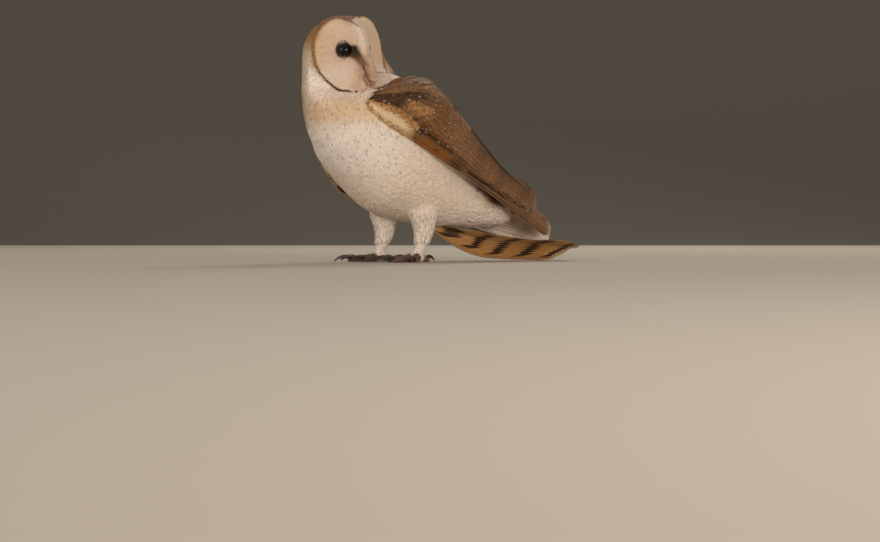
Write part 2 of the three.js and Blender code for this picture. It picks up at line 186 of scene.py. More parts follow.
HEAD_AT = np.array([0.0, -55.0, 207.0])
HEAD_AXES = turned("Z", 97) @ turned("Y", -6) @ turned("X", 2)
DISC = {"side": 42.0, "top": 36.0, "chin": 40.0, "notch": 7.0, "cheek": 0.22}
EYE = np.array([10.4, -14.4, 2.0])
EYE_RADIUS = 8.4


def in_head(points):
    return (np.asarray(points) - HEAD_AT) @ HEAD_AXES


def from_head(points):
    return HEAD_AT + np.asarray(points) @ HEAD_AXES.T


def heart(turn):
    across, up = np.cos(turn), np.sin(turn)
    power = np.where(up > 0, 2.5, 2.05)
    dip = DISC["notch"] * np.exp(-(((turn - np.pi / 2) / 0.2) ** 2))
    narrow = np.where(up < 0, 1 - 0.08 * up * up, 1)
    pushed = np.where((up < 0) & (across > 0), 1 + DISC["cheek"] * (2 * across * up) ** 2, 1)
    x = DISC["side"] * np.sign(across) * np.abs(across) ** (2 / power) * narrow * pushed
    tall = np.where(up > 0, DISC["top"] - dip, DISC["chin"])
    return x, tall * np.sign(up) * np.abs(up) ** (2 / power) * pushed


def rim_depth(turn):
    return -7 - np.where(np.sin(turn) > 0, 6, 11) * np.sin(turn) ** 2


def ruff_at(turn):
    """Where the ruff stands, as a share of the way to the disc's edge; the shoulder lifts it."""
    lifted = 0.05 * ramp(turn, -2.1, -1.85) + 0.05 * ramp(turn, -1.66, -1.5)
    side = ramp(np.sin(turn), -0.9, -0.1) * (0.6 + 0.4 * ramp(-np.cos(turn), -0.5, 0.5))
    return 1 - 0.075 * side - lifted * (1 - ramp(turn, -1.1, -0.7))


HEART_TURNS = np.linspace(-np.pi, np.pi, 361)
heart_x, heart_z = heart(np.where(HEART_TURNS < -np.pi / 2, HEART_TURNS + 2 * np.pi, HEART_TURNS))
HEART_REACH = np.hypot(heart_x, heart_z)
HEART_ANGLE = np.unwrap(np.arctan2(heart_z, heart_x))


def face_share(h):
    """0 in the middle of the face, 1 on its rim, more outside it."""
    angle = np.arctan2(h[:, 2], h[:, 0])
    reach = np.interp(angle, HEART_ANGLE, HEART_REACH)
    return np.hypot(h[:, 0], h[:, 2]) / reach


# %% [markdown]
# ## The skin
# A bird's skin runs without a seam from the face to the toes. The solids are parted by thin
# cuts, so copies of them are swollen by half a millimetre until they overlap, joined, and
# remeshed into one closed surface. It is then smoothed and drawn inwards by the depth that the
# coat will have at each place: most on the body, least on the face and feet.

# %% One closed surface from the fleshy solids
TOES = [n for n in frame["nodes"] if n.startswith("toe_")]
FLESH = ["head", "neck", "trunk", "wing_left", "wing_right", "leg_left", "leg_right", *TOES]
SWELL = 0.5
VOXEL = 1.4


def swollen(node, amount):
    """Points and triangles of a merged copy of a solid, swollen by some millimetres."""
    solid = bmesh.new()
    solid.from_mesh(frame["nodes"][node].data)
    bmesh.ops.remove_doubles(solid, verts=solid.verts, dist=1e-6)
    bmesh.ops.triangulate(solid, faces=solid.faces)
    solid.normal_update()
    points = to_owl([v.co for v in solid.verts])
    points += np.array([v.normal for v in solid.verts]) * amount
    faces = [[v.index for v in f.verts] for f in solid.faces]
    solid.free()
    return points, faces


all_points, all_faces = [], []
for node in FLESH:
    points, faces = swollen(node, SWELL)
    start = sum(len(p) for p in all_points)
    all_points.append(points)
    all_faces += [[i + start for i in f] for f in faces]
raw = bpy.data.meshes.new("raw_skin")
raw.from_pydata((np.vstack(all_points) * MM).tolist(), [], all_faces)
raw_object = placed("raw_skin", raw)
remesh = raw_object.modifiers.new("remesh", "REMESH")
remesh.mode = "VOXEL"
remesh.voxel_size = VOXEL * MM
remesh.adaptivity = 0
evaluated = raw_object.evaluated_get(bpy.context.evaluated_depsgraph_get())
skin_mesh = bpy.data.meshes.new_from_object(evaluated)
bpy.data.objects.remove(raw_object)
print("skin:", len(skin_mesh.vertices), "points,", len(skin_mesh.polygons), "faces")

# %% [markdown]
# Where two solids meet, small hollows may stay closed up between them. Only the biggest of the
# surfaces is the skin; the others are taken away.

# %% Keep the outer surface
outer = bmesh.new()
outer.from_mesh(skin_mesh)
outer.verts.ensure_lookup_table()
labels = np.arange(len(outer.verts))
pairs = np.array([[e.verts[0].index, e.verts[1].index] for e in outer.edges])
while True:
    lowest = labels.copy()
    np.minimum.at(lowest, pairs[:, 0], labels[pairs[:, 1]])
    np.minimum.at(lowest, pairs[:, 1], labels[pairs[:, 0]])
    lowest = lowest[lowest]
    if (lowest == labels).all():
        break
    labels = lowest
main = np.bincount(labels).argmax()
bmesh.ops.delete(outer, geom=[v for v in outer.verts if labels[v.index] != main], context="VERTS")
outer.to_mesh(skin_mesh)
outer.free()
print("closed surfaces found:", len(np.unique(labels)), "points kept:", len(skin_mesh.vertices))

# %% [markdown]
# Each point of the skin is told which solid it came from, because the coat changes from part to
# part. A search tree on each solid answers that: the nearest one wins.

# %% Which part each point belongs to


def points_of(mesh):
    flat = np.empty(len(mesh.vertices) * 3)
    mesh.vertices.foreach_get("co", flat)
    return flat.reshape(-1, 3)


PARTS = ["head", "neck", "trunk", "wing_left", "wing_right", "leg", "toe"]
HEAD, NECK, TRUNK, LEFT_WING, RIGHT_WING, LEG, TOE = range(7)
skin_points = points_of(skin_mesh) / MM
distance = np.full(len(skin_points), 1e9)
part_of = np.zeros(len(skin_points), int)
for node in FLESH:
    points, faces = swollen(node, SWELL)
    solid_finder = BVHTree.FromPolygons(points.tolist(), faces)
    number = next(i for i, part in enumerate(PARTS) if node.startswith(part))
    far = np.array([solid_finder.find_nearest(Vector(p))[3] for p in skin_points])
    nearer = far < distance
    distance[nearer], part_of[nearer] = far[nearer], number
print("points in each part:", dict(zip(PARTS, np.bincount(part_of, minlength=7).tolist())))

# %% [markdown]
# Smoothing moves each point towards the middle of its neighbours. The body is smoothed most,
# so that neck and breast flow together; the face keeps its ridge and rim.

# %% Smooth the skin
edges = np.empty(len(skin_mesh.edges) * 2, int)
skin_mesh.edges.foreach_get("vertices", edges)
edges = edges.reshape(-1, 2)
ends = np.concatenate([edges[:, 0], edges[:, 1]])
others = np.concatenate([edges[:, 1], edges[:, 0]])
neighbours = np.bincount(ends, minlength=len(skin_points))[:, None]


def relax(values, share):
    """Moves each row towards the average of its neighbours by a share."""
    sums = [np.bincount(ends, column[others], len(values)) for column in values.T]
    return values + (np.stack(sums, 1) / neighbours - values) * share


def skin_normals(points):
    skin_mesh.vertices.foreach_set("co", (points * MM).ravel())
    skin_mesh.update()
    flat = np.empty(len(points) * 3)
    skin_mesh.vertex_normals.foreach_get("vector", flat)
    return flat.reshape(-1, 3)


PASSES = np.array([5, 30, 30, 12, 12, 8, 2])
NAPE_PASSES, RIDGE_PASSES = 16, 18
h = in_head(skin_points)
passes = PASSES[part_of].astype(float)
passes[(part_of == HEAD) & (h[:, 1] >= 5)] = NAPE_PASSES
on_ridge = (np.abs(h[:, 0]) < 9) & (h[:, 1] < 0) & (h[:, 2] > -8)
passes[(part_of == HEAD) & on_ridge] = RIDGE_PASSES
passes = relax(relax(passes[:, None], 0.8), 0.8)[:, 0]
for done in range(PASSES.max()):
    share = np.clip(passes - done, 0, 1)[:, None] * 0.6
    skin_points = relax(skin_points, share)

# %% [markdown]
# Now the skin is drawn in. A ray cast inwards from each point measures how thick the body is
# there, so that a thin edge, such as a wing's, isn't drawn in past its own middle.

# %% Draw the skin in by the coat's depth
DEPTH = np.array([2.2, 2.7, 2.8, 2.4, 2.4, 2.0, 0.0])
FACE_DEPTH, SHANK_DEPTH = 1.3, 1.5
LEAST_DEPTH, SHARE_OF_THICKNESS, THICKEST = 0.3, 0.36, 40
h = in_head(skin_points)
before_rim = h[:, 1] < rim_depth(np.arctan2(h[:, 2], h[:, 0])) + 4
on_face = (part_of == HEAD) & before_rim & (face_share(h) < 1.0)
depth = DEPTH[part_of]
depth[on_face] = FACE_DEPTH
depth[(part_of == LEG) & (skin_points[:, 2] < 34)] = SHANK_DEPTH
depth = relax(relax(relax(depth[:, None], 0.8), 0.8), 0.8)[:, 0] + SWELL
normals = skin_normals(skin_points)
faces = [list(p.vertices) for p in skin_mesh.polygons]
skin_finder = BVHTree.FromPolygons(skin_points.tolist(), faces)
for i, (p, n) in enumerate(zip(skin_points, normals)):
    hit = skin_finder.ray_cast(Vector(p - n * 0.05), Vector(-n), THICKEST)
    if hit[0] is not None:
        depth[i] = min(depth[i], max(LEAST_DEPTH, SHARE_OF_THICKNESS * hit[3]))
depth = relax(depth[:, None], 0.6)[:, 0]
skin_points = skin_points - normals * depth[:, None]
for _ in range(3):
    skin_points = relax(skin_points, 0.4 * (part_of != TOE)[:, None])
skin_points[:, 2] = np.maximum(skin_points[:, 2], 0.0)
normals = skin_normals(skin_points)
print("coat depth from", depth.min().round(2), "to", depth.max().round(2), "mm")


# %% [markdown]
# ## The wings' outer faces
# A folded wing is a curved slab. Two rows of places, its leading edge below and its back edge
# above, and a bulge between them give any place on its outer face from two shares: t from wrist
# to tip, and s from the leading edge to the back edge. All wing feathers are laid out in t and s.

# %% Smooth curves and the wings


def through(rows):
    """A smooth curve through rows of numbers, as a function of 0 to 1."""
    rows = np.asarray(rows, float)
    knots = np.vstack([2 * rows[0] - rows[1], rows, 2 * rows[-1] - rows[-2]])
    gaps = np.maximum((np.diff(knots, axis=0) ** 2).sum(1) ** 0.25, 1e-4)[:, None]

    def at(t):
        t = np.clip(np.asarray(t, float), 0, 1) * (len(rows) - 1)
        i = np.minimum(t.astype(int), len(rows) - 2)
        w = (t - i)[..., None]
        p0, p1, p2, p3 = (knots[i + k] for k in range(4))
        d0, d1, d2 = (gaps[i + k] for k in range(3))
        start = ((p1 - p0) / d0 - (p2 - p0) / (d0 + d1) + (p2 - p1) / d1) * d1
        end = ((p2 - p1) / d1 - (p3 - p1) / (d1 + d2) + (p3 - p2) / d2) * d1
        square = 3 * (p2 - p1) - 2 * start - end
        return p1 + start * w + square * w**2 + (2 * (p1 - p2) + start + end) * w**3

    return at


def unit(rows):
    return rows / np.maximum(np.linalg.norm(rows, axis=-1, keepdims=True), 1e-9)


# leading edge x y z, back edge x y z, bulge
LEFT_ARM = np.array([
    [50, -60, 157, 47, -44, 168, 4],
    [55, -50, 143, 44, -18, 176, 9],
    [59, -32, 130, 34, 14, 181, 15],
    [61, -4, 116, 22, 42, 171, 19],
    [59, 28, 99, 13, 76, 140, 18],
    [53, 60, 84, 8, 105, 112, 14],
    [44, 92, 71, 6, 130, 92, 9],
    [34, 122, 58, 6, 150, 83, 6],
    [27, 142, 51, 9, 160, 73, 4],
    [22, 154, 49, 13, 165, 62, 2.5],
])
LEFT_HAND = np.array([
    [57, 24, 101, 44, 38, 112, 2],
    [52, 56, 86, 34, 76, 99, 4],
    [43, 92, 68, 22, 110, 84, 4],
    [33, 128, 49, 14, 144, 67, 3.5],
    [26, 152, 37, 11, 166, 53, 2.5],
    [22, 168, 30, 12, 176, 44, 1.5],
    [19, 178, 30, 15, 180, 38, 1],
])
ARM_DROOP = np.array([32, 33, 44, 52, 46, 32, 21, 13, 10, 9])
FAN_SHIFT = np.array([
    [-1, -12, -41], [-1, -6, -36], [-1, -2, -26], [-2, 2, -18], [-7, 10, -15], [-11, 14, -14],
    [-12, 13, -14],
])
MIRROR = np.array([-1, 1, 1, -1, 1, 1, 1])
RIGHT_ARM = LEFT_ARM * MIRROR
RIGHT_ARM[:, 1] -= ARM_DROOP / 4
RIGHT_ARM[:, 2] -= ARM_DROOP
RIGHT_ARM[:, 3] -= 0.2 * ARM_DROOP
RIGHT_ARM[:, 5] -= 5 + 16 * np.exp(-np.arange(10) / 2.2)
RIGHT_ARM[:, 6] += 0.06 * ARM_DROOP
RIGHT_HAND = LEFT_HAND * MIRROR
RIGHT_HAND[:, :3] += FAN_SHIFT * [-1, 1, 1]
RIGHT_HAND[:, 3:6] += FAN_SHIFT * [-1, 1, 1] + [0, 0, 2]


def series(values):
    """A smooth curve through single numbers."""
    curve = through(np.column_stack([values, np.zeros((len(values), 2))]))
    return lambda t: curve(t)[..., 0]


def wing_face(stations):
    """The place at shares t and s of a wing's outer face."""
    edge, back, bulge = through(stations[:, :3]), through(stations[:, 3:6]), series(stations[:, 6])
    side = np.sign(stations[0, 0])

    def at(t, s):
        t, s = np.broadcast_arrays(np.asarray(t, float), np.asarray(s, float))
        low, high = edge(t), back(t)
        along = unit(edge(np.minimum(1, t + 0.02)) - edge(np.maximum(0, t - 0.02)))
        out = unit(np.cross(along, high - low))
        out = np.where(out[..., :1] * side < 0, -out, out)
        inner = np.clip(s, 0, 1)
        lift = bulge(t) * 4 * inner * (1 - inner) + 0.9
        return low + (high - low) * s[..., None] + out * lift[..., None]

    return at


WINGS = {"left": wing_face(LEFT_ARM), "right": wing_face(RIGHT_ARM)}
FANS = {"left": wing_face(LEFT_HAND), "right": wing_face(RIGHT_HAND)}
GRID = np.meshgrid(np.linspace(0, 1, 241), np.linspace(0, 1, 81))
grid_t, grid_s = (shares.ravel() for shares in GRID)
TREES = {}
for wing, side in ((LEFT_WING, "left"), (RIGHT_WING, "right")):
    TREES[wing] = KDTree(len(grid_t))
    for i, place in enumerate(WINGS[side](grid_t, grid_s)):
        TREES[wing].insert(place, i)
    TREES[wing].balance()


def wing_shares(points, wing):
    """The shares t and s of the nearest place of a wing's outer face."""
    nearest = np.array([TREES[wing].find(p)[1] for p in points], int)
    return np.stack([grid_t[nearest], grid_s[nearest]])


def wing_way(p):
    """Towards the wing's tip, for points of either wing."""
    way = np.empty_like(p)
    for wing, face, here in (
        (LEFT_WING, WINGS["left"], p[:, 0] > 0),
        (RIGHT_WING, WINGS["right"], p[:, 0] <= 0),
    ):
        t, s = wing_shares(p[here], wing)
        way[here] = unit(face(np.minimum(t + 0.03, 1), s) - face(np.maximum(t - 0.03, 0), s))
    return way


# %% [markdown]
# ## The colours
# The owl's markings are written once, as a function of place, and both the skin and the coat
# take their colour from it, so that nothing shows through wrongly. The palette holds the colours
# of the real feathers by name.

# %% Palette and small blends
PALETTE = {
    name: colour(code)
    for name, code in {
        "white": "#f2e9e0",
        "cream": "#ecdccb",
        "warm": "#e3c8a4",
        "peach": "#d9b68c",
        "wash": "#b8986e",
        "tan": "#bd915c",
        "gold": "#a27446",
        "buff": "#dac7ae",
        "crown": "#8d6a54",
        "mantle": "#6c4622",
        "fawn": "#80593a",
        "slate": "#463222",
        "rust": "#74420a",
        "umber": "#5a3f28",
        "bark": "#38250f",
        "soot": "#1d130c",
        "face": "#d9bfa6",
        "mauve": "#b88f78",
        "veil": "#8f8272",
        "ash": "#b5a48c",
        "toe": "#6b5446",
    }.items()
}


def blend(base, name, share):
    """Lays a colour of the palette over an array of colours."""
    return base + (PALETTE[name] - base) * np.asarray(share)[..., None]


def layered(count, ground, *coats):
    """Rows of one ground colour, with others laid over it in turn: name, share."""
    tint = np.repeat(PALETTE[ground][None], count, 0)
    for name, share in coats:
        tint = blend(tint, name, share)
    return tint


def between(value, low, high, soft):
    """1 from low to high, fading to 0 over a soft width outside them."""
    return ramp(value, low - soft, low + soft) * (1 - ramp(value, high - soft, high + soft))


def near_line(points, a, b):
    """Distance of each point from the stretch a to b, and the share of the way along it."""
    a, b = np.asarray(a, float), np.asarray(b, float)
    along = np.clip((points - a) @ (b - a) / ((b - a) @ (b - a)), 0, 1)
    return np.linalg.norm(points - a - along[:, None] * (b - a), axis=1), along


# %% [markdown]
# The face is cream with a dark smudge from the inner corner of each eye towards the bill, which
# turns to mauve over the bill's sides. The ruff around it is golden above and nearly black
# below, where it fades for a little way under the chin. The crown is grey-brown; neck and breast
# are cream with a tan wash on the neck's side, and a grey veil lies over the golden nape.

# %% Markings of head and body


def face_colours(h):
    mirrored = np.column_stack([np.abs(h[:, 0]), h[:, 1:]])
    out, up = mirrored[:, 0], h[:, 2]
    flat = mirrored * [1, 0, 1]
    beside_bill, _ = near_line(flat, [5.2, 0, -6], [3.0, 0, -24])
    smudge, _ = near_line(flat, [8.8, 0, 3.6], [8.0, 0, -4.0])
    tail, down = near_line(flat, [8.0, 0, -4.0], [4.6, 0, -14.0])
    smudge_tail = (0.95 - 0.35 * down) * (1 - ramp(tail, 1.2 - 0.6 * down, 3.6 - 1.2 * down))
    turn = np.arctan2(h[:, 2], h[:, 0])
    by_ruff = ramp(face_share(h) - ruff_at(turn), -0.05, -0.025)
    ring = np.linalg.norm(mirrored - EYE, axis=1) - EYE_RADIUS
    return layered(
        len(h), "face",
        ("warm", 0.5 * ramp(up, 10, 34) * ramp(out, 4, 16)),
        ("white", 0.35 * (1 - ramp(up, -20, -4)) * ramp(out, 5, 14)),
        ("peach", 0.4 * ramp(out, 22, 38) * ramp(up, -24, -4)),
        ("cream", 0.6 * (1 - ramp(out, 3, 9)) * ramp(up, -6, 8)),
        ("mauve", 0.75 * (1 - ramp(beside_bill, 1.5, 5.5))),
        ("soot", 0.97 * (1 - ramp(smudge, 1.5, 4.0))),
        ("umber", smudge_tail),
        ("crown", 0.85 * ramp(0.6 * (up - 25) - out, -1.6, 1.6)),
        ("bark", 0.9 * by_ruff * between(turn, -1.52, -1.15, 0.05)),
        ("bark", 0.9 * (1 - ramp(ring, 0.3, 2.2))),
    )


def head_colours(h):
    turn = np.arctan2(h[:, 2], np.abs(h[:, 0]))
    _, behind, up = h.T
    backwards = 0.59 * h[:, 0] + 0.81 * behind
    return layered(
        len(h), "buff",
        ("white", 0.8 * between(up, -36, -14, 4) * (1 - ramp(behind, 0, 14))),
        ("tan", 0.85 * ramp(up, -4, 14)),
        ("gold", 0.75 * ramp(up, 4, 22) * (1 - ramp(behind, 20, 34))),
        ("gold", 0.85 * ramp(backwards, 12, 26)),
        ("veil", 0.4 * ramp(backwards, 18, 34)),
        ("crown", 0.92 * ramp(up + 0.1 * behind, 25, 31) * ramp(turn, 0.5, 0.9)),
    )


def ruff_colours(turn):
    """The ruff's colour by the turn round the face from the owl's left, in radians."""
    height = np.sin(turn)
    return layered(
        len(turn), "gold",
        ("crown", 0.7 * ramp(height, 0.8, 1.0)),
        ("bark", 0.95 * (1 - ramp(height, -0.75, -0.2))),
        ("warm", 0.6 * between(turn, -1.74, -1.58, 0.05)),
    )


def body_colours(p):
    x, y, z = p.T
    nape = ramp(0.5 * (y + 45) - 0.87 * x, 20, 36) * ramp(z, 118, 134)
    return layered(
        len(p), "cream",
        ("warm", 0.1 * (1 - ramp(z, 60, 105)) * ramp(y, -60, 20)),
        ("peach", 0.8 * between(z, 138, 158, 10) * (1 - ramp(y, -20, 10)) * ramp(x, -30, 12)),
        ("wash", 0.8 * between(z, 136, 172, 7) * (1 - ramp(x, -24, 2)) * (1 - ramp(y, -10, 30))),
        ("white", 0.7 * between(z, 88, 128, 12) * (1 - ramp(y, -50, -10))),
        ("gold", 0.85 * nape),
        ("veil", 0.4 * nape),
        ("mantle", ramp(y + 0.75 * (z - 130), 30, 52) * ramp(z, 52, 62)),
        ("white", 0.5 * (1 - ramp(z, 34, 60))),
    )


# %% [markdown]
# A folded wing has a smooth pale patch along its leading edge at the wrist, edged with gold,
# grey-brown small coverts above it, a fluffy brown shoulder, and a rust stripe of primary
# coverts that ends in a dark line along the lower edge. The secondaries are finely mottled.

# %% Markings of a wing


def wing_colours(t, s):
    patch = 0.15 * np.sqrt(np.clip(np.sin(np.pi * np.clip(t / 0.3, 0, 1)), 0, 1)) + 0.02
    past = s - patch
    in_patch = (1 - ramp(past, -0.02, 0.02)) * (1 - ramp(t, 0.26, 0.3))
    stripe = between(t, 0.31, 0.5, 0.012)
    low_edge = 1 - ramp(s, 0.12, 0.2)
    return layered(
        len(t), "fawn",
        ("mantle", 0.8 * (1 - ramp(t, 0.34, 0.42))),
        ("slate", 0.9 * (1 - ramp(s, 0.6, 0.75)) * (1 - ramp(t, 0.24, 0.31))),
        ("gold", 0.9 * between(t, 0.2, 0.31, 0.03) * between(s, 0.26, 0.44, 0.05)),
        ("gold", 0.4 * between(t, 0.05, 0.2, 0.04) * between(s, 0.7, 0.84, 0.05)),
        ("gold", (1 - ramp(past, 0.06, 0.1)) * ramp(t, 0.02, 0.06) * (1 - ramp(t, 0.29, 0.31))),
        # The patch keeps the darker wash along its lower edge and its border. On the lower edge
        # this is partly a brown line and partly painted shade where the wing meets the breast.
        ("wash", 0.95 * in_patch),
        ("warm", 0.8 * in_patch * ramp(s, 0.0, 0.05) * (1 - ramp(past, -0.06, -0.01))),
        ("bark", 0.8 * between(t, 0.295, 0.32, 0.01) * low_edge),
        ("rust", 0.97 * stripe * (1 - ramp(s, 0.05, 0.08))),
        ("bark", 0.85 * stripe * between(s, 0.08, 0.13, 0.02)),
        ("bark", 0.9 * between(t, 0.45, 0.51, 0.02) * low_edge),
        ("umber", 0.8 * ramp(t, 0.5, 0.54) * (1 - ramp(s, 0.08, 0.16))),
        ("veil", 0.5 * between(t, 0.4, 0.62, 0.04) * ramp(s, 0.76, 0.88)),
        ("veil", 0.7 * ramp(t, 0.88, 0.98)),
    )


def markings(points, parts):
    h = in_head(points)
    turn = np.arctan2(h[:, 2], h[:, 0])
    inside = (face_share(h) < ruff_at(turn)) & (h[:, 1] < rim_depth(turn) + 4)
    tint = body_colours(points)
    high = (ramp(points[:, 2], 164, 180) * (parts == HEAD))[:, None]
    tint = tint + (head_colours(h) - tint) * high
    tint[inside] = face_colours(h[inside])
    for wing in (LEFT_WING, RIGHT_WING):
        tint[parts == wing] = wing_colours(*wing_shares(points[parts == wing], wing))
    tint[parts == TOE] = PALETTE["toe"]
    return tint


# %% [markdown]
# ## Which way the feathers lie
# Feathers lie away from the bill: over the crown and down the nape, down the breast and back
# under the belly to the tail. On the face they fan out from each eye. One function gives that
# way at any place, laid flat on the skin.

# %% The lie of the coat
SPINE = np.array([
    [0, -55, 236], [0, -52, 200], [0, -48, 168], [0, -40, 142], [0, -22, 120], [0, 4, 102],
    [0, 34, 83], [0, 64, 66], [0, 96, 54], [0, 130, 46], [0, 160, 40],
], float)
steps = SPINE[1:] - SPINE[:-1]
spine_middles = np.vstack([SPINE[:-1] + steps * share for share in (0.25, 0.75)])
spine_ways = unit(np.vstack([steps, steps]))


def flat_on(ways, normals):
    return unit(ways - np.sum(ways * normals, axis=-1, keepdims=True) * normals)


def body_way(p):
    away = ((p[:, None, :] - spine_middles[None]) ** 2).sum(-1)
    pull = np.exp(-(away - away.min(1, keepdims=True)) / (2 * 18**2))
    return unit((pull[..., None] * spine_ways[None]).sum(1))


def head_way(p):
    h = in_head(p)
    back = np.clip((h[:, 1] + 8) / 40, 0, 1)
    over = unit(np.column_stack([0.25 * np.sign(h[:, 0]) * (1 - back), 1.1 - back, -0.3 - back]))
    nape = ramp(p[:, 2], 160, 190)[:, None]
    return unit(body_way(p) * (1 - nape) + over @ HEAD_AXES.T * nape)


def face_way(p):
    h = in_head(p)
    side = np.sign(h[:, 0] + 1e-6)
    fan = unit(np.column_stack([h[:, 0] - side * EYE[0], np.zeros(len(h)), h[:, 2] - EYE[2]]))
    down = unit(np.column_stack([side * 0.3, -0.4 * np.ones(len(h)), -np.ones(len(h))]))
    inner = 1 - ramp(np.abs(h[:, 0]), 2.5, 9)
    return unit(fan + (down - fan) * inner[:, None]) @ HEAD_AXES.T


def leg_way(p):
    return np.tile([0.0, -0.15, -1.0], (len(p), 1))


# %% [markdown]
# ## Sowing the roots
# A cloud of places is sprinkled evenly over the skin's triangles. For each zone of the coat the
# cloud is thinned to one place in each small cube of space, which gives even but irregular roots.

# %% A cloud of places on the skin
rng = np.random.default_rng(5)
skin_mesh.vertices.foreach_set("co", to_frame(skin_points).ravel())
skin_mesh.update()
skin_mesh.calc_loop_triangles()
corners = np.array([t.vertices[:] for t in skin_mesh.loop_triangles])
a, b, c = (skin_points[corners[:, i]] for i in range(3))
areas = np.linalg.norm(np.cross(b - a, c - a), axis=1) / 2
CLOUD = 1_000_000
picked = rng.choice(len(corners), CLOUD, p=areas / areas.sum())
mix = np.sort(rng.random((CLOUD, 2)), axis=1)
weights = np.column_stack([mix[:, 0], mix[:, 1] - mix[:, 0], 1 - mix[:, 1]])
cloud = np.einsum("ij,ijk->ik", weights, skin_points[corners[picked]])
cloud_normals = unit(np.einsum("ij,ijk->ik", weights, normals[corners[picked]]))
cloud_parts = part_of[corners[picked, 0]]
cloud_face = on_face[corners[picked, 0]]
skin_finder = BVHTree.FromPolygons(skin_points.tolist(), faces)
CELLS = 4096
print("skin area:", round(areas.sum() / 100), "square centimetres")


def thin(chosen, spacing):
    """One place of the cloud in each cube of this size, from the chosen ones."""
    index = rng.permutation(np.flatnonzero(chosen))
    x, y, z = np.floor(cloud[index] / spacing).astype(np.int64).T + CELLS // 2
    _, first = np.unique((x * CELLS + y) * CELLS + z, return_index=True)
    return index[first]


def settle(points):
    """The nearest places on the skin and the smooth normals there."""
    spots, ways = np.empty_like(points), np.empty_like(points)
    for i, p in enumerate(points):
        spot, _, face, _ = skin_finder.find_nearest(Vector(p))
        spots[i] = spot
        ways[i] = normals[faces[face]].mean(0)
    return spots, unit(ways)


# %% [markdown]
# ## Many small shapes in one mesh
# Every feather here is a small closed shape, and one mesh joins all feathers of a zone. Each
# point carries a tint, whose fourth number says how strongly it is mottled. Shading normals lean
# towards the skin's, as real vanes melt into each other, and away from it on the undersides. The
# flat map gives each feather a patch of its own.

# %% Join copies of a closed shape


def add_layer(mesh, label, values):
    """Colours or vectors for each point of a mesh, for its material to read."""
    kind, field = ("FLOAT_COLOR", "color") if values.shape[-1] == 4 else ("FLOAT_VECTOR", "vector")
    layer = mesh.attributes.new(label, kind, "POINT")
    layer.data.foreach_set(field, values.astype(float).ravel())


def joined(name, points, pattern, lean_to, patches, material, own_share, under=(), **layers):
    """points, lean_to and layers: (count, each, 3 or 4). pattern: one shape's faces, by point."""
    count, each, _ = points.shape
    sizes = np.tile([len(face) for face in pattern], count)
    starts = np.arange(count) * each
    loops = (np.concatenate(pattern)[None] + starts[:, None]).ravel()
    mesh = bpy.data.meshes.new(name)
    mesh.vertices.add(count * each)
    mesh.vertices.foreach_set("co", to_frame(points.reshape(-1, 3)).ravel())
    mesh.loops.add(len(loops))
    mesh.loops.foreach_set("vertex_index", loops)
    mesh.polygons.add(len(sizes))
    mesh.polygons.foreach_set("loop_start", np.cumsum(sizes) - sizes)
    mesh.polygons.foreach_set("loop_total", sizes)
    mesh.update(calc_edges=True)
    for label, values in layers.items():
        add_layer(mesh, label, values)
    uv = mesh.uv_layers.new(name="OFBake")
    uv.uv.foreach_set("vector", patches.reshape(-1, 2)[loops].ravel())
    mesh.materials.append(material)
    mesh.shade_smooth()
    own = np.empty(count * each * 3)
    mesh.vertex_normals.foreach_get("vector", own)
    signs = [np.full(len(face), -1.0 if i in under else 1.0) for i, face in enumerate(pattern)]
    lean = lean_to.reshape(-1, 3)[loops] * np.tile(np.concatenate(signs), count)[:, None]
    mesh.normals_split_custom_set(unit(own.reshape(-1, 3)[loops] * own_share + lean).tolist())
    obj = placed(name, mesh)
    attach(obj, "root")
    print(f"{name}: {count} feathers, {int((sizes - 2).sum())} triangles")
    return obj


def toned(tints, spread):
    """A little scatter in tone from feather to feather."""
    return np.clip(tints * rng.normal(1, spread, (len(tints), 1)), 0, 1)


# %% [markdown]
# A small feather or tuft is a closed blade with three long edges: left, right and a low ridge
# between. It starts at the skin, follows it and rises slowly, so that its tip lies over the
# roots behind it, as tiles do.

# %% Blades along the skin
BLADE_WIDTHS = np.array([0.6, 1.0, 0.88])
BLADE_RIDGE = np.array([0.5, 1.0, 0.8])
BLADE_FACES = [
    [0, 1, 4, 3], [1, 2, 5, 4], [2, 0, 3, 5], [3, 4, 7, 6], [4, 5, 8, 7], [5, 3, 6, 8],
    [6, 7, 9], [7, 8, 9], [8, 6, 9], [0, 2, 1],
]
BLADE_UNDER = (0, 3, 6, 9)
BLADE_STATIONS = np.array([0, 0, 0, 1, 1, 1, 2, 2, 2, 3])
BLADE_PATCH = np.array([[x, row] for row in range(3) for x in (-1, 1, 0)] + [[0, 3]])
BLADE_PATCH = BLADE_PATCH * [0.5, 1 / 3] - [0, 0.5]
PATCH_SIZE = 0.003
BLADE_LIFT = np.array([0, 0.42, 0.82, 1.0])
ROOT_SUNK = np.array([0.3, 0, 0, 0])
BLADE_SHADES = np.array([0.92, 0.97, 1.0, 1.02])
CALM_SWAY, OWN_SHARE = 0.07, 0.4
OFF_FLOOR = 0.4


def blade_spines(roots, up, way_at, lengths, rise, sway=CALM_SWAY):
    """Four places along each blade, with the normal and the way at each."""
    places, ups, ways = [roots], [up], []
    place, normal = roots, up
    own_sway = rng.normal(0, sway, (len(roots), 3))
    for _ in range(3):
        way = flat_on(way_at(place) + own_sway, normal)
        ways.append(way)
        place, normal = settle(place + way * (lengths / 3)[:, None])
        places.append(place)
        ups.append(normal)
    ways.append(ways[-1])
    places, ups, ways = (np.stack(rows, 1) for rows in (places, ups, ways))
    height = BLADE_LIFT * rise[:, None] - ROOT_SUNK
    places = places + ups * height[..., None]
    places[..., 2] = np.maximum(places[..., 2], OFF_FLOOR)
    return places, ups, ways


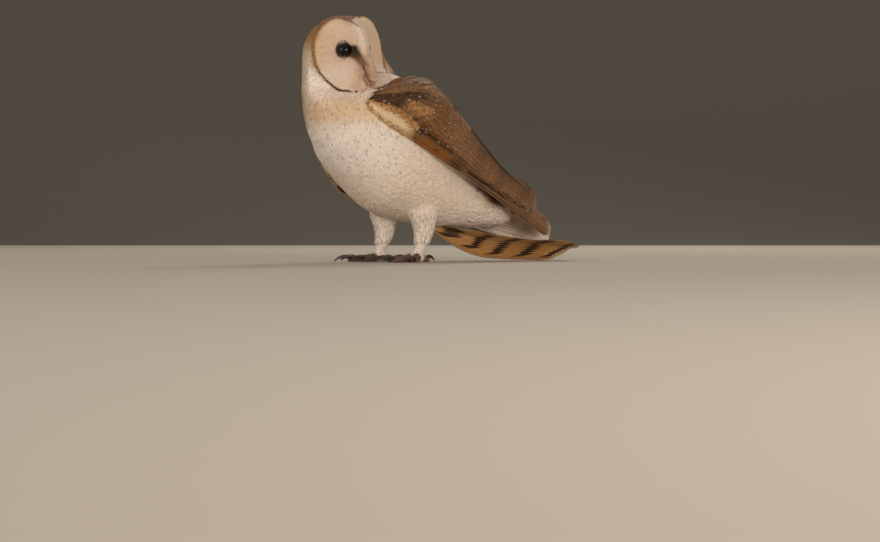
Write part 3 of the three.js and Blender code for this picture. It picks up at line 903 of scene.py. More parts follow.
def blades(name, spines, ups, ways, widths, thick, tints, patch_at, own_share=OWN_SHARE):
    """Soft feathers on given spines. tints: (count, 4 stations, 4)."""
    sides = unit(np.cross(ups, ways))[:, :3]
    half = sides * widths[:, None, None] * BLADE_WIDTHS[None, :, None] / 2
    top = spines[:, :3] + ups[:, :3] * thick * BLADE_RIDGE[None, :, None]
    rings = np.stack([spines[:, :3] - half, spines[:, :3] + half, top], 2)
    points = np.concatenate([rings.reshape(len(spines), 9, 3), spines[:, 3:4]], 1)
    patches = patch_at[:, None] + PATCH_SIZE * BLADE_PATCH[None]
    ups, tints = ups[:, BLADE_STATIONS], tints[:, BLADE_STATIONS]
    obj = joined(
        name, points, BLADE_FACES, ups, patches, soft_feather, own_share, BLADE_UNDER, tint=tints
    )


def along_blade(tints, mottle):
    """Tints of the four stations, a little darker at the root, with the mottling added."""
    full = np.ones((len(tints), 4, 4)) * mottle
    full[..., :3] = (tints[:, None] if tints.ndim == 2 else tints) * BLADE_SHADES[:, None]
    return np.clip(full, 0, 1)


# %% [markdown]
# Every blade's patch on the flat map lies at its root's place on an unwrap of the skin: around
# the body one way, along it the other.

# %% The unwrap of the skin
MAP_START, MAP_LENGTH = -330, 560


def unwrap(points):
    away = ((points[:, None, :] - spine_middles[None]) ** 2).sum(-1)
    middle = spine_middles[away.argmin(1)]
    off = points - middle
    around = np.arctan2(off[:, 0], off[:, 2] - off[:, 1])
    along = (points[:, 1] - points[:, 2] - MAP_START) / MAP_LENGTH
    return np.column_stack([0.5 + around / (2 * np.pi) * 0.98, np.clip(along, 0.01, 0.99)])


# %% [markdown]
# ## The finish of small feathers
# A contour feather is keratin barbs, matt and soft, with a faint sheen where the light grazes
# them. Fine noise, a millimetre across, breaks up its tint as barbs do. Where a feather is
# mottled, a coarser noise darkens it in grains about two millimetres across, drawn a little
# coarser than life.

# %% Soft feather
BARB_WAVES, GRAIN_WAVES = 900.0, 430.0


def mottled_tint(tree, tint, low, high):
    """Light and dark grains; how strongly they show is the tint's fourth number."""
    grain = mapped(tree, noise(tree, GRAIN_WAVES), (0.38, 0.62), (low, high))
    share = tint.outputs["Alpha"]
    mix = add_node(tree, "ShaderNodeMix", {"data_type": "FLOAT"}, Factor=share, i2=1.0, i3=grain)
    return mix.outputs[0]


def scaled(tree, tint, factor):
    settings = {"operation": "SCALE"}
    node = add_node(tree, "ShaderNodeVectorMath", settings, i0=tint.outputs["Color"], Scale=factor)
    return node.outputs[0]


soft_feather, tree = new_material("soft_contour_feather")
tint = add_node(tree, "ShaderNodeAttribute", {"attribute_name": "tint"})
fine = mapped(tree, noise(tree, BARB_WAVES, 2.0), (0.0, 1.0), (0.9, 1.1))
shade = reckon(tree, "MULTIPLY", fine, mottled_tint(tree, tint, 0.5, 1.45))
toned_tint = scaled(tree, tint, shade)
shader = add_node(tree, "ShaderNodeBsdfPrincipled", Base_Color=toned_tint, Roughness=0.8)
shader.inputs["Sheen Weight"].default_value = 0.04
shader.inputs["Specular IOR Level"].default_value = 0.15
finish_material(tree, shader)

# %% [markdown]
# ## The coat, zone by zone
# Each zone has its own spacing, length, width and rise. The face has the finest vanes, the breast
# longer ones, and the loose feathers under the tail are the longest. The ridge between the eyes
# stands up in soft tufts.

# %% Zones of the coat
cloud_head = in_head(cloud)
cloud_turn = np.arctan2(cloud_head[:, 2], cloud_head[:, 0])
cloud_face = cloud_face & (face_share(cloud_head) < ruff_at(cloud_turn))
height = cloud[:, 2]
body = (cloud_parts == TRUNK) | (cloud_parts == NECK)
back = cloud[:, 1] + 0.75 * (height - 130) > 34
front = cloud[:, 1] - 0.35 * (height - 120) < -20
rump = (cloud_parts == TRUNK) & (cloud[:, 1] > 68) & (height < 74)
ridge = cloud_face & (np.abs(cloud_head[:, 0]) < 4.5) & (cloud_head[:, 2] > -12)
wing_shows = np.ones(len(cloud), bool)
for wing, side in ((LEFT_WING, 1), (RIGHT_WING, -1)):
    wing_shows &= (cloud_parts != wing) | (cloud_normals[:, 0] * side > -0.25)
on_wing = (cloud_parts == LEFT_WING) | (cloud_parts == RIGHT_WING)
on_wing &= np.abs(cloud_normals[:, 0]) > 0.3
skin_t = np.ones(len(skin_points))
for wing in (LEFT_WING, RIGHT_WING):
    skin_t[part_of == wing] = wing_shares(skin_points[part_of == wing], wing)[0]
early = skin_t[corners[picked, 0]] < 0.42
SCATTER = 0.03
ZONES = {
    # name: chosen places, way, spacing, length, width, rise, mottling, sway
    "coat_face": (cloud_face & ~ridge, face_way, 1.15, 6.0, 1.3, 0.9, 0.0, 0.07),
    "coat_ridge": (ridge, face_way, 1.0, 6.5, 1.4, 1.3, 0.0, 0.12),
    "coat_head": ((cloud_parts == HEAD) & ~cloud_face, head_way, 1.7, 8.5, 2.6, 1.5, 0.35, 0.07),
    "coat_breast": (body & front & ~back, body_way, 1.9, 13.0, 3.8, 1.7, 0.0, 0.07),
    "coat_belly": (body & ~front & ~back & ~rump, body_way, 2.0, 14.0, 4.0, 2.1, 0.0, 0.12),
    "coat_back": (body & back & ~rump, body_way, 2.6, 16.0, 5.5, 2.2, 0.9, 0.07),
    "coat_undertail": (rump, body_way, 2.6, 20.0, 4.6, 3.6, 0.0, 0.15),
    "coat_shoulders": (on_wing & wing_shows & early, wing_way, 1.9, 9.5, 3.2, 1.1, 0.8, 0.07),
    "coat_underwing": (on_wing & ~wing_shows, wing_way, 4.5, 18.0, 6.0, 1.0, 0.3, 0.07),
    "coat_thighs": ((cloud_parts == LEG) & (height >= 30), leg_way, 1.9, 13.0, 3.2, 3.2, 0.0, 0.2),
    "coat_shanks": ((cloud_parts == LEG) & (height < 30), leg_way, 1.2, 5.5, 1.4, 1.3, 0.0, 0.1),
}
for name, (chosen, way_at, spacing, length, width, rise, mottle, sway) in ZONES.items():
    index = thin(chosen, spacing)
    count = len(index)
    lengths = length * rng.uniform(0.85, 1.15, count)
    rises = rise * rng.uniform(0.8, 1.1, count)
    roots, up = cloud[index], cloud_normals[index]
    spines, ups, ways = blade_spines(roots, up, way_at, lengths, rises, sway)
    if name in ("coat_face", "coat_ridge", "coat_head"):
        parts = np.repeat(cloud_parts[index], 4)
        tints = markings(spines.reshape(-1, 3), parts).reshape(count, 4, 3)
        tints = tints * rng.normal(1, SCATTER, (count, 1, 1))
    else:
        scatter = SCATTER + 0.2 * (sway - CALM_SWAY)
        tints = toned(markings(spines[:, 2], cloud_parts[index]), scatter)
    tints = along_blade(tints, mottle)
    if name == "coat_shoulders":
        pale = tints[:, 2, 0] > 0.6
        fleck = (rng.random(count) < 0.06) & ~pale
        tints[fleck, 3, :3] = PALETTE["cream"] * 0.8
        tints[pale, :, 3] = 0
    widths = width * rng.uniform(0.85, 1.15, count)
    thick = 0.09 * width + 0.08
    own_share = OWN_SHARE + 4 * (sway - CALM_SWAY)
    blades(name, spines, ups, ways, widths, thick, tints, unwrap(roots), own_share)

# %% [markdown]
# The breast is sown with small dark spots. Each is the dark tip of one narrow feather that lies
# on top of its neighbours. They are closest on the upper breast and flanks and few below.

# %% Spots
upper_breast = (body & ~back) & (height > 92) & (height < 168)
lower_breast = (body & ~back & ~rump) & (height > 56) & (height <= 92) & (cloud[:, 1] < 40)
index = np.concatenate([thin(upper_breast, 8.5), thin(lower_breast, 18.0)])
count = len(index)
spines, ups, ways = blade_spines(
    cloud[index], cloud_normals[index], body_way, rng.uniform(10, 12, count), np.full(count, 2.1)
)
tints = along_blade(markings(spines[:, 2], cloud_parts[index]), 0.0)
dark = rng.uniform(0.55, 1.0, count)
tints[:, 3, :3] = blend(tints[:, 3, :3], "umber", dark)
widths = rng.uniform(1.6, 2.2, count)
blades("coat_spots", spines, ups, ways, widths, 0.25, tints, unwrap(cloud[index]))

# %% [markdown]
# ## The ruff around the face
# Short stiff feathers stand in rows on the rim of the face. Each row starts a little further out
# and leans away from the face, so that the face ends in a clear raised line.

# %% Rows of the ruff
RUFF = 300
RUFF_ROWS = [(0.945, -0.8), (0.98, 0.0), (1.01, 1.4), (1.035, 3.2)]
roots, turns, rows = [], [], []
for row, (inwards, deeper) in enumerate(RUFF_ROWS):
    turn = np.linspace(-1.5 * np.pi + 0.2, 0.5 * np.pi - 0.2, RUFF) + rng.normal(0, 0.006, RUFF)
    turn = np.where(turn < -np.pi, turn + 2 * np.pi, turn)
    x, z = np.array(heart(turn)) * ruff_at(turn) * inwards
    roots.append(from_head(np.column_stack([x, rim_depth(turn) + deeper, z])))
    turns.append(turn)
    rows.append(np.full(RUFF, row))
roots, turns, rows = np.vstack(roots), np.concatenate(turns), np.concatenate(rows)
roots, up = settle(roots)


def ruff_way(p):
    h = in_head(p)
    return unit(np.column_stack([h[:, 0], 6 * np.ones(len(h)), h[:, 2]])) @ HEAD_AXES.T


lengths = np.array([4.5, 4.5, 4.5, 5.0])[rows] * rng.uniform(0.9, 1.1, len(rows))
rise = np.array([1.0, 1.6, 1.8, 1.6])[rows]
spines, ups, ways = blade_spines(roots, up, ruff_way, lengths, rise, 0.05)
plain = markings(spines[:, 3] + ups[:, 3], np.full(len(rows), HEAD))
line = ruff_colours(turns)
thin_below = 1 - 0.5 * (1 - ramp(np.sin(turns), -0.6, 0.1)) * (rows >= 2)
tints = np.repeat(line[:, None], 4, 1)
tints[rows == 0, :2] = PALETTE["face"]
tints[rows == 0, 2] = (PALETTE["face"] + line[rows == 0]) / 2
outer = rows >= 2
tints[outer] += (plain[outer][:, None] - tints[outer]) * (1 - thin_below[outer])[:, None, None]
tints[rows == 3, 2:] = plain[rows == 3][:, None]
tints = np.concatenate([np.clip(tints, 0, 1), np.zeros((len(rows), 4, 1))], 2)
blades("coat_ruff", spines, ups, ways, np.full(len(rows), 1.8), 0.3, tints, unwrap(roots))

# %% [markdown]
# Bristly feathers run down from the ridge over both sides of the bill and hide most of it, so
# that only its tip is bare.

# %% Bristles over the bill
BRISTLES = 1200
HEIGHTS = [-36, -29, -22, -15.5, -10, -4, 2]


def over_bill(side, round_share, z):
    """A place over the bill: round_share 0 on its ridge, 1 at its side."""
    front = np.interp(z, HEIGHTS, [-42.4, -47.8, -48.6, -45.6, -42.2, -40.4, -40.0])
    wide = np.interp(z, HEIGHTS, [0.8, 3.3, 4.5, 4.9, 5.2, 5.6, 6.0])
    deep = np.interp(z, HEIGHTS, [1.2, 4.4, 5.6, 5.8, 5.5, 5.5, 6.0])
    angle = round_share * 1.75
    return np.stack([side * wide * np.sin(angle), front + deep * (1 - np.cos(angle)), z], -1)


side = np.where(np.arange(BRISTLES) % 2 == 0, 1, -1)
outwards = rng.uniform(0.02, 1, BRISTLES)
high = rng.uniform(0, 1, BRISTLES)
share = np.linspace(0, 1, 4)[None]
z = (-4 - 18 * high - 2 * outwards)[:, None] - share * rng.uniform(9, 13, BRISTLES)[:, None]
z = np.maximum(z, -31.5 + 1.5 * share + 2.5 * outwards[:, None])
z -= 0.3 * share
path = over_bill(side[:, None], outwards[:, None] + 0.06 * share, z)
path[..., 1] -= np.array([-2.0, -0.2, 0.5, 0.7])
spines = from_head(path.reshape(-1, 3)).reshape(-1, 4, 3)
ways = unit(np.gradient(spines, axis=1))
out = unit(np.column_stack([side * outwards, -1.1 + outwards, np.zeros(BRISTLES)])) @ HEAD_AXES.T
ups = unit(out[:, None] - np.sum(out[:, None] * ways, -1, keepdims=True) * ways)
tints = face_colours(path.reshape(-1, 3))
low, sideways = -path[..., 2].ravel(), np.repeat(outwards, 4)
tints = blend(tints, "mauve", 0.6 * ramp(low, 13, 25) * ramp(sideways, 0.0, 0.4))
tints = blend(tints, "umber", 0.4 * ramp(low, 14, 20) * ramp(sideways, 0.5, 0.9))
tints = tints.reshape(BRISTLES, 4, 3) * rng.normal(1, 0.06, (BRISTLES, 1, 1))
tints, widths = along_blade(tints, 0.0), np.full(BRISTLES, 0.9)
blades("bill_bristles", spines, ups, ways, widths, 0.22, tints, unwrap(spines[:, 0]), 0.8)

# %% Skin's finish and place
skin = placed("skin", skin_mesh)
skin_tints = np.zeros((len(skin_points), 4))
skin_tints[:, :3] = markings(skin_points, part_of) * 0.9
add_layer(skin_mesh, "tint", skin_tints)
skin_mesh.materials.append(soft_feather)
skin_mesh.shade_smooth()
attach(skin, "root")
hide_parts(*FLESH)

# %% [markdown]
# ## Feathers with a shape of their own
# Scapulars, wing coverts, secondaries, primaries and tail feathers are seen one by one. Each is a
# closed, slightly arched blade on both sides of a shaft, with a rounded tip. One side may be
# narrower than the other, and each feather lies a little over the next.

# %% Build modelled feathers
ACROSS = 7
TIP_ROUNDNESS, TIP_LEAST = 1.3, 0.004
VANE_OWN_SHARE = 1.3


def feathers(
    name, shafts, ups, left, right, tints, under, marks,
    thick=0.4, arch=0.1, tilt=0.0, bar_side=None,
):
    """shafts, ups: (count, stations, 3). left, right: widths. marks: bars and dots, (count, 2)."""
    count, stations, _ = shafts.shape
    ways = unit(np.gradient(shafts, axis=1))
    sides = unit(np.cross(ups, ways))
    steps = np.linalg.norm(np.diff(shafts, axis=1), axis=2).cumsum(1)
    along = np.concatenate([np.zeros((count, 1)), steps], 1)
    length = along[:, -1:]
    wide = ((left + right) / 2)[:, None]
    from_tip = length - along
    past = 1 - np.minimum(from_tip / (TIP_ROUNDNESS * wide), 1)
    tip = np.sqrt(np.clip(1 - past**2, TIP_LEAST, 1))
    outline = tip * (0.35 + 0.65 * ramp(along / length, -0.05, 0.3))
    u = np.linspace(-1, 1, ACROSS)
    loop = np.concatenate([u, u[1:-1][::-1]])
    ring = len(loop)
    below = (np.arange(ring) >= ACROSS).astype(float)
    reach = np.where(loop < 0, left[:, None], right[:, None])[:, None] * outline[..., None] * loop
    sag = (tilt * loop - arch * wide[..., None] * loop**2) * outline[..., None]
    drop = sag - thick * below * (1 - loop**2) * (0.3 + 0.7 * outline[..., None])
    points = shafts[:, :, None] + sides[:, :, None] * reach[..., None]
    points = points + ups[:, :, None] * drop[..., None]
    rows, turn = np.meshgrid(np.arange(stations - 1) * ring, np.arange(ring), indexing="ij")
    nxt = (turn + 1) % ring
    quads = np.stack([rows + turn, rows + ring + turn, rows + ring + nxt, rows + nxt], -1)
    tip_face = (stations - 1) * ring + np.arange(ring)[::-1]
    pattern = [*quads.reshape(-1, 4), np.arange(ring), tip_face]
    full = np.where(below[None, None, :, None] > 0, under[:, :, None], tints[:, :, None])
    vane = np.stack(np.broadcast_arrays(reach, along[..., None], from_tip[..., None]), -1)
    kinds = np.ones((count, stations, ring, 4))
    kinds[..., :2] = marks[:, None, None]
    kinds[..., 2] = below
    kinds[..., 3] = np.abs(loop)
    if bar_side is not None:
        inner_only = ramp(loop * bar_side[:, None, None], 0.05, 0.3)
        inner_only = inner_only * (1 - 0.7 * ramp(np.abs(loop), 0.8, 1.0))
        kinds[..., 0] *= np.where(below > 0, inner_only, 1.0)
    columns = int(np.ceil(np.sqrt(count * max(1.0, (length / (4 * wide)).mean()))))
    lines = int(np.ceil(count / columns))
    cell = np.arange(count)
    patch_x = (cell % columns)[:, None, None] + 0.5 + 0.22 * loop + 0.25 * (2 * below - 1)
    patch_y = (cell // columns)[:, None, None] + 0.05 + 0.9 * (along / length)[..., None]
    patches = np.stack(np.broadcast_arrays(patch_x / columns, patch_y / lines), -1)
    lean_to = np.where(below[None, None, :, None] > 0, -ups[:, :, None], ups[:, :, None])
    return joined(
        name, points.reshape(count, -1, 3), pattern, lean_to, patches, flight_feather,
        VANE_OWN_SHARE, tint=full, marks=kinds, vane=vane,
    )


# %% [markdown]
# A flight feather is stiffer and smoother than the coat. It is mottled in fine grains, carries
# dark bars across its vane every 36 mm, and shows its shaft as a thin line. Coverts end in a
# small pale dot. Barbs run slantwise from the shaft; they are drawn a millimetre apart, coarser
# than life, so that they show.

# %% Mottled flight feather
BAR_EVERY = 36.0
BAR_SLANT, BARB_SLANT = -1.7, -0.8
DOT_FROM_TIP = 2.0
flight_feather, tree = new_material("mottled_flight_feather")
tint = add_node(tree, "ShaderNodeAttribute", {"attribute_name": "tint"})
marks = add_node(tree, "ShaderNodeAttribute", {"attribute_name": "marks"})
vane = add_node(tree, "ShaderNodeAttribute", {"attribute_name": "vane"})
kinds = add_node(tree, "ShaderNodeSeparateColor", Color=marks.outputs["Color"])
where = add_node(tree, "ShaderNodeSeparateXYZ", Vector=vane.outputs["Vector"])
bar_share, dot_share, _ = kinds.outputs
across, along, from_tip = where.outputs
off = reckon(tree, "ABSOLUTE", across)
shown = scaled(tree, tint, mottled_tint(tree, tint, 0.55, 1.4))

# bars: bands of a wave along the shaft, slanting back and wandering a little
leaning = reckon(tree, "MULTIPLY_ADD", off, BAR_SLANT, along)
wandering = reckon(tree, "MULTIPLY_ADD", noise(tree, 110.0, 2.0), 6.0, leaning)
turns = reckon(tree, "MULTIPLY_ADD", wandering, 2 * math.pi / BAR_EVERY, -1.0)
band = mapped(tree, reckon(tree, "SINE", turns), (0.3, 0.55), (0.0, 1.0))
shown = mixed_colour(tree, reckon(tree, "MULTIPLY", band, bar_share), shown, rgba("#2f1c0c"))

# a pale dot near the tip
to_dot = reckon(tree, "SUBTRACT", from_tip, DOT_FROM_TIP)
square = reckon(tree, "MULTIPLY_ADD", off, off, reckon(tree, "MULTIPLY", to_dot, to_dot))
dot = mapped(tree, reckon(tree, "SQRT", square), (0.6, 1.1), (0.75, 0.0))
shown = mixed_colour(tree, reckon(tree, "MULTIPLY", dot, dot_share), shown, rgba("#e6dccb"))

# the shaft, and a pale fringe along both edges
shown = mixed_colour(tree, mapped(tree, off, (0.3, 0.6), (0.6, 0.0)), shown, rgba("#8f6536"))
fringe = mapped(tree, marks.outputs["Alpha"], (0.8, 1.0), (0.0, 0.3))
shown = mixed_colour(tree, fringe, shown, rgba("#c9ae8a"))

# barbs, slanting back from the shaft
slant = reckon(tree, "MULTIPLY_ADD", off, BARB_SLANT, along)
barb = reckon(tree, "SINE", reckon(tree, "MULTIPLY", slant, 2 * math.pi))
bump = add_node(tree, "ShaderNodeBump", Strength=0.2, Distance=0.0002, Height=barb).outputs[0]
shader = add_node(tree, "ShaderNodeBsdfPrincipled", Base_Color=shown, Roughness=0.65, Normal=bump)
shader.inputs["Sheen Weight"].default_value = 0.04
shader.inputs["Specular IOR Level"].default_value = 0.2
finish_material(tree, shader)

# %% [markdown]
# ## The wings' feathers
# Greater coverts lie in three rows behind the small coverts, and scapulars cover the shoulder and
# the wing's back edge. The secondaries close over the hand: the innermost lies on top, each lower
# one shows only its outer edge, and their tips step down. Narrow primary coverts make the rust
# stripe, and the primaries reach beyond the rest.

# %% Lay feathers on a wing


def shafts_on(face, start, end, stations, low, high):
    """Shafts from start (t, s) to end (t, s), rising from low to high, with the normals there."""
    share = np.linspace(0, 1, stations)[None] ** 0.9
    t = start[0][:, None] + (end[0] - start[0])[:, None] * share
    s = start[1][:, None] + (end[1] - start[1])[:, None] * share
    place = face(t, s)
    along_t, along_s = face(t + 0.01, s) - face(t - 0.01, s), face(t, s + 0.02) - face(t, s - 0.02)
    up = unit(np.cross(along_t, along_s))
    side = np.sign(place[..., 0].mean())
    up *= np.sign((up[..., 0] * side).mean())
    lift = low[:, None] + (high - low)[:, None] * share
    return place + up * lift[..., None], up, t, s


def lay(
    name, side, face, start, end, stations, lift, half, colours, mottle, marks,
    pale_under=0.6, **shape,
):
    """One piece of feathers on a wing: colours(t, s) gives their tints."""
    count = len(start[0])
    low, high, half = (np.broadcast_to(value, count) for value in (*lift, half))
    shafts, up, t, s = shafts_on(face, start, end, stations, low, high)
    tints = colours(t.ravel(), s.ravel()).reshape(count, stations, 3)
    tints = np.clip(tints * rng.normal(1, 0.05, (count, 1, 1)), 0, 1)
    under = blend(tints, "cream", np.full((count, stations), pale_under))
    full, full_under = np.ones((2, count, stations, 4))
    full[..., :3], full[..., 3] = tints, mottle
    full_under[..., :3], full_under[..., 3] = under, 0.25 * mottle
    marks = np.array(marks) * rng.uniform(0.1, 1, (count, 2)) ** [0, 1]
    piece = feathers(f"{name}_{side}", shafts, up, half, half, full, full_under, marks, **shape)
    return piece


# %% Wing feathers, row by row


def flat_colours(t, s):
    """Scapulars: the colour of the shoulder, wherever they end."""
    tint = np.repeat(PALETTE["mantle"][None], len(t), 0)
    tint = blend(tint, "gold", 0.35 * between(s, 0.72, 0.86, 0.06))
    return blend(tint, "veil", 0.25 * ramp(t, 0.3, 0.45))


def hand_colours(t, s):
    tint = np.repeat(PALETTE["fawn"][None], len(t), 0)
    tint = blend(tint, "umber", 0.8 * (1 - ramp(s, 0.15, 0.5)))
    return blend(tint, "ash", 0.75 * ramp(t, 0.8, 0.97))


COVERTS, SCAPULARS, SECONDARIES, PRIMARY_COVERTS, PRIMARIES = 45, 48, 13, 3, 7
for side in ("left", "right"):
    face = WINGS[side]
    turn = 1 if side == "left" else -1
    # greater coverts, three rows
    s = np.concatenate([np.linspace(0.2, 0.9, COVERTS // 3) + 0.02 * k for k in range(3)])
    s = s + rng.normal(0, 0.008, COVERTS)
    row = np.repeat([0, 1, 2], COVERTS // 3)
    t0 = 0.19 + 0.05 * row + 0.03 * s + rng.normal(0, 0.008, COVERTS)
    t1 = t0 + 0.105 + 0.02 * row
    lift = (-2.3, -1.1 - 0.2 * row + 0.2 * s)
    lay(
        "greater_coverts", side, face, (t0, s), (t1, s), 12, lift, 4.4, wing_colours, 0.9, (0, 0.8),
        tilt=-0.35 * turn,
    )
    # scapulars, eight short rows
    s = np.concatenate([np.linspace(0.7, 0.96, SCAPULARS // 8) + 0.025 * (k % 2) for k in range(8)])
    s = s + rng.normal(0, 0.01, SCAPULARS)
    row = np.repeat(np.arange(8), SCAPULARS // 8)
    t0 = -0.04 + 0.042 * row + rng.normal(0, 0.01, SCAPULARS)
    start, end = (t0, s), (t0 + 0.13, s + 0.02)
    lift = (-2.6, -0.9 + 0.8 * ramp(s, 0.75, 0.95))
    lay(
        "scapulars", side, face, start, end, 12, lift, 5.0, flat_colours, 1.0, (0, 0.3),
        tilt=-0.5 * turn,
    )
    # secondaries and tertials
    s0, order = np.linspace(0.12, 0.93, SECONDARIES), np.linspace(0, 1, SECONDARIES)
    t1 = np.interp(s0, [0.1, 0.4, 0.75, 0.93], [0.93, 1.0, 0.985, 0.9])
    s1 = np.interp(s0, [0.1, 0.5, 0.93], [0.2, 0.5, 0.84])
    start, end = (0.26 + 0.02 * order, s0), (t1, s1)
    lift = (-2.6, -1.7 + 1.4 * order)
    lay(
        "secondaries", side, face, start, end, 30, lift, 7.0, wing_colours, 0.8, (0.3, 0),
        pale_under=0.55, arch=0.06, tilt=-0.7 * turn,
    )
    # primary coverts
    s0, order = np.linspace(0.0, 0.05, PRIMARY_COVERTS), np.linspace(0, 1, PRIMARY_COVERTS)
    start = (np.full(PRIMARY_COVERTS, 0.25), s0)
    end = (np.linspace(0.55, 0.5, PRIMARY_COVERTS), s0 * 0.8)
    lift = (-1.6, -0.7 + 0.4 * order)
    lay(
        "primary_coverts", side, face, start, end, 20, lift, 2.6, wing_colours, 0.2, (0, 0),
        arch=0.15,
    )
    # primaries
    s0, order = np.linspace(0.1, 0.88, PRIMARIES), np.linspace(0, 1, PRIMARIES)
    t1 = np.interp(order, [0, 0.5, 1], [0.95, 1.0, 0.93])
    start, end = (np.zeros(PRIMARIES), s0), (t1, 0.18 + 0.64 * order)
    lift = (-1.6, -1.3 + 0.9 * order)
    piece = lay(
        "primary_feathers", side, FANS[side], start, end, 30, lift, 6.5, hand_colours, 0.6,
        (0.25, 0), pale_under=0.9,
    )
    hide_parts(f"primaries_{side}")

# %% [markdown]
# ## The tail
# Twelve feathers fan a little from the rump. The middle pair lies on top and the outer ones
# beneath, so from below the outermost shows whole: a narrow grey outer vane, its pale shaft, and
# a broad golden inner vane with dark bars. Their tips are pale.

# %% Tail feathers
# y and z of the middle, half width, tilt in degrees, arch
TAIL = np.array([
    [46, 38, 15, 16, 3], [62, 31.5, 22, 20, 4], [88, 24, 28, 22, 5], [116, 18.5, 32, 21, 6],
    [148, 15.5, 34, 19, 7], [178, 14.2, 36, 18, 6], [198, 12.8, 35, 17, 5], [210, 11, 28, 15, 4],
    [217, 9.8, 15, 14, 3],
])
tail_middle = through(TAIL[:, [2, 0, 1]])
tail_tilt, tail_arch = series(TAIL[:, 3]), series(TAIL[:, 4])


def tail_at(t, across):
    """A place in the middle of the tail's thickness."""
    middle = tail_middle(t)
    flat, lean = across * middle[..., 0], np.radians(tail_tilt(t))
    height = tail_arch(t) * (0.5 - across**2)
    x = flat * np.cos(lean) - height * np.sin(lean)
    z = middle[..., 2] + flat * np.sin(lean) + height * np.cos(lean)
    return np.stack([x, middle[..., 1], z], -1)


TAIL_FEATHERS, STATIONS = 12, 40
number = np.arange(TAIL_FEATHERS) - (TAIL_FEATHERS - 1) / 2
fan = np.abs(number) / number.max()
side_share = np.sign(number) * fan**0.9 * 0.84
along = np.linspace(0, 1, STATIONS)
t = 0.02 + (0.965 - 0.09 * fan**2)[:, None] * along[None]
across = side_share[:, None] * (0.6 + 0.4 * ramp(along, 0, 0.5))[None]
shafts = tail_at(t, across)
sideways = tail_at(t, across + 0.02) - tail_at(t, across - 0.02)
lengthways = tail_at(t + 0.01, across) - tail_at(t - 0.01, across)
up = unit(np.cross(sideways, lengthways))
up *= np.sign(up[..., 2:])
shafts = shafts + up * (0.9 - 1.9 * fan)[:, None, None]
tints = np.tile(PALETTE["gold"], (TAIL_FEATHERS, STATIONS, 1))
tints = blend(tints, "tan", np.full(t.shape, 0.5))
tints = blend(tints, "ash", 0.85 * np.tile(ramp(along, 0.9, 0.98), (TAIL_FEATHERS, 1)))
full = np.full((TAIL_FEATHERS, STATIONS, 4), 0.7)
full[..., :3] = tints
full_under = full * [1.6, 1.6, 1.5, 0.3]
outer, inner = 6.5 - 3.0 * fan, 8.0 + 5.0 * fan
marks = np.tile((0.95, 0), (TAIL_FEATHERS, 1))
on_right = number < 0
tail_feathers = feathers(
    "tail_feathers", shafts, up, np.where(on_right, inner, outer), np.where(on_right, outer, inner),
    full, full_under, marks, thick=0.5, arch=0.05, bar_side=np.where(on_right, -1, 1),
)
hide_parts("tail")

# %% [markdown]
# ## Eyes and lids
# The eyes are dark brown globes, almost black, with a wet clear surface. A bare dark lid edge
# rings each one, a little closer above and below than at the corners.

# %% Eyes
wet_eye, tree = new_material("wet_dark_eye")
tint = add_node(tree, "ShaderNodeAttribute", {"attribute_name": "tint"})
shader = add_node(tree, "ShaderNodeBsdfPrincipled", Base_Color=tint.outputs["Color"])
shader.inputs["Roughness"].default_value = 0.05
shader.inputs["IOR"].default_value = 1.376
finish_material(tree, shader)
lid_skin, tree = new_material("bare_lid_skin")
shader = add_node(tree, "ShaderNodeBsdfPrincipled", Base_Color=rgba("#150d09"), Roughness=0.7)
finish_material(tree, shader)


def grid_faces(rows, columns):
    """Quads over rings joined round, and both ends closed."""
    row, column = np.meshgrid(np.arange(rows - 1), np.arange(columns), indexing="ij")
    nxt = (column + 1) % columns
    quads = np.stack([row, row, row + 1, row + 1], -1) * columns
    quads = quads + np.stack([column, nxt, nxt, column], -1)
    last = (rows - 1) * columns
    ends = [list(range(columns))[::-1], [last + i for i in range(columns)]]
    return quads.reshape(-1, 4).tolist() + ends


def outwards_first(points, faces):
    """Turns all faces over if the closed shape came out inside out."""
    total = 0.0
    for face in faces:
        a = points[face[0]]
        for i in range(1, len(face) - 1):
            total += np.dot(a, np.cross(points[face[i]], points[face[i + 1]]))
    return faces if total > 0 else [face[::-1] for face in faces]


def lid_edge(turn):
    """The angle from the eye's axis to the free edge of the lids: wider than high."""
    return (np.abs(np.cos(turn) / 0.86) ** 2 + np.abs(np.sin(turn) / 0.62) ** 2) ** -0.5


BALL_RINGS, AROUND = 28, 40
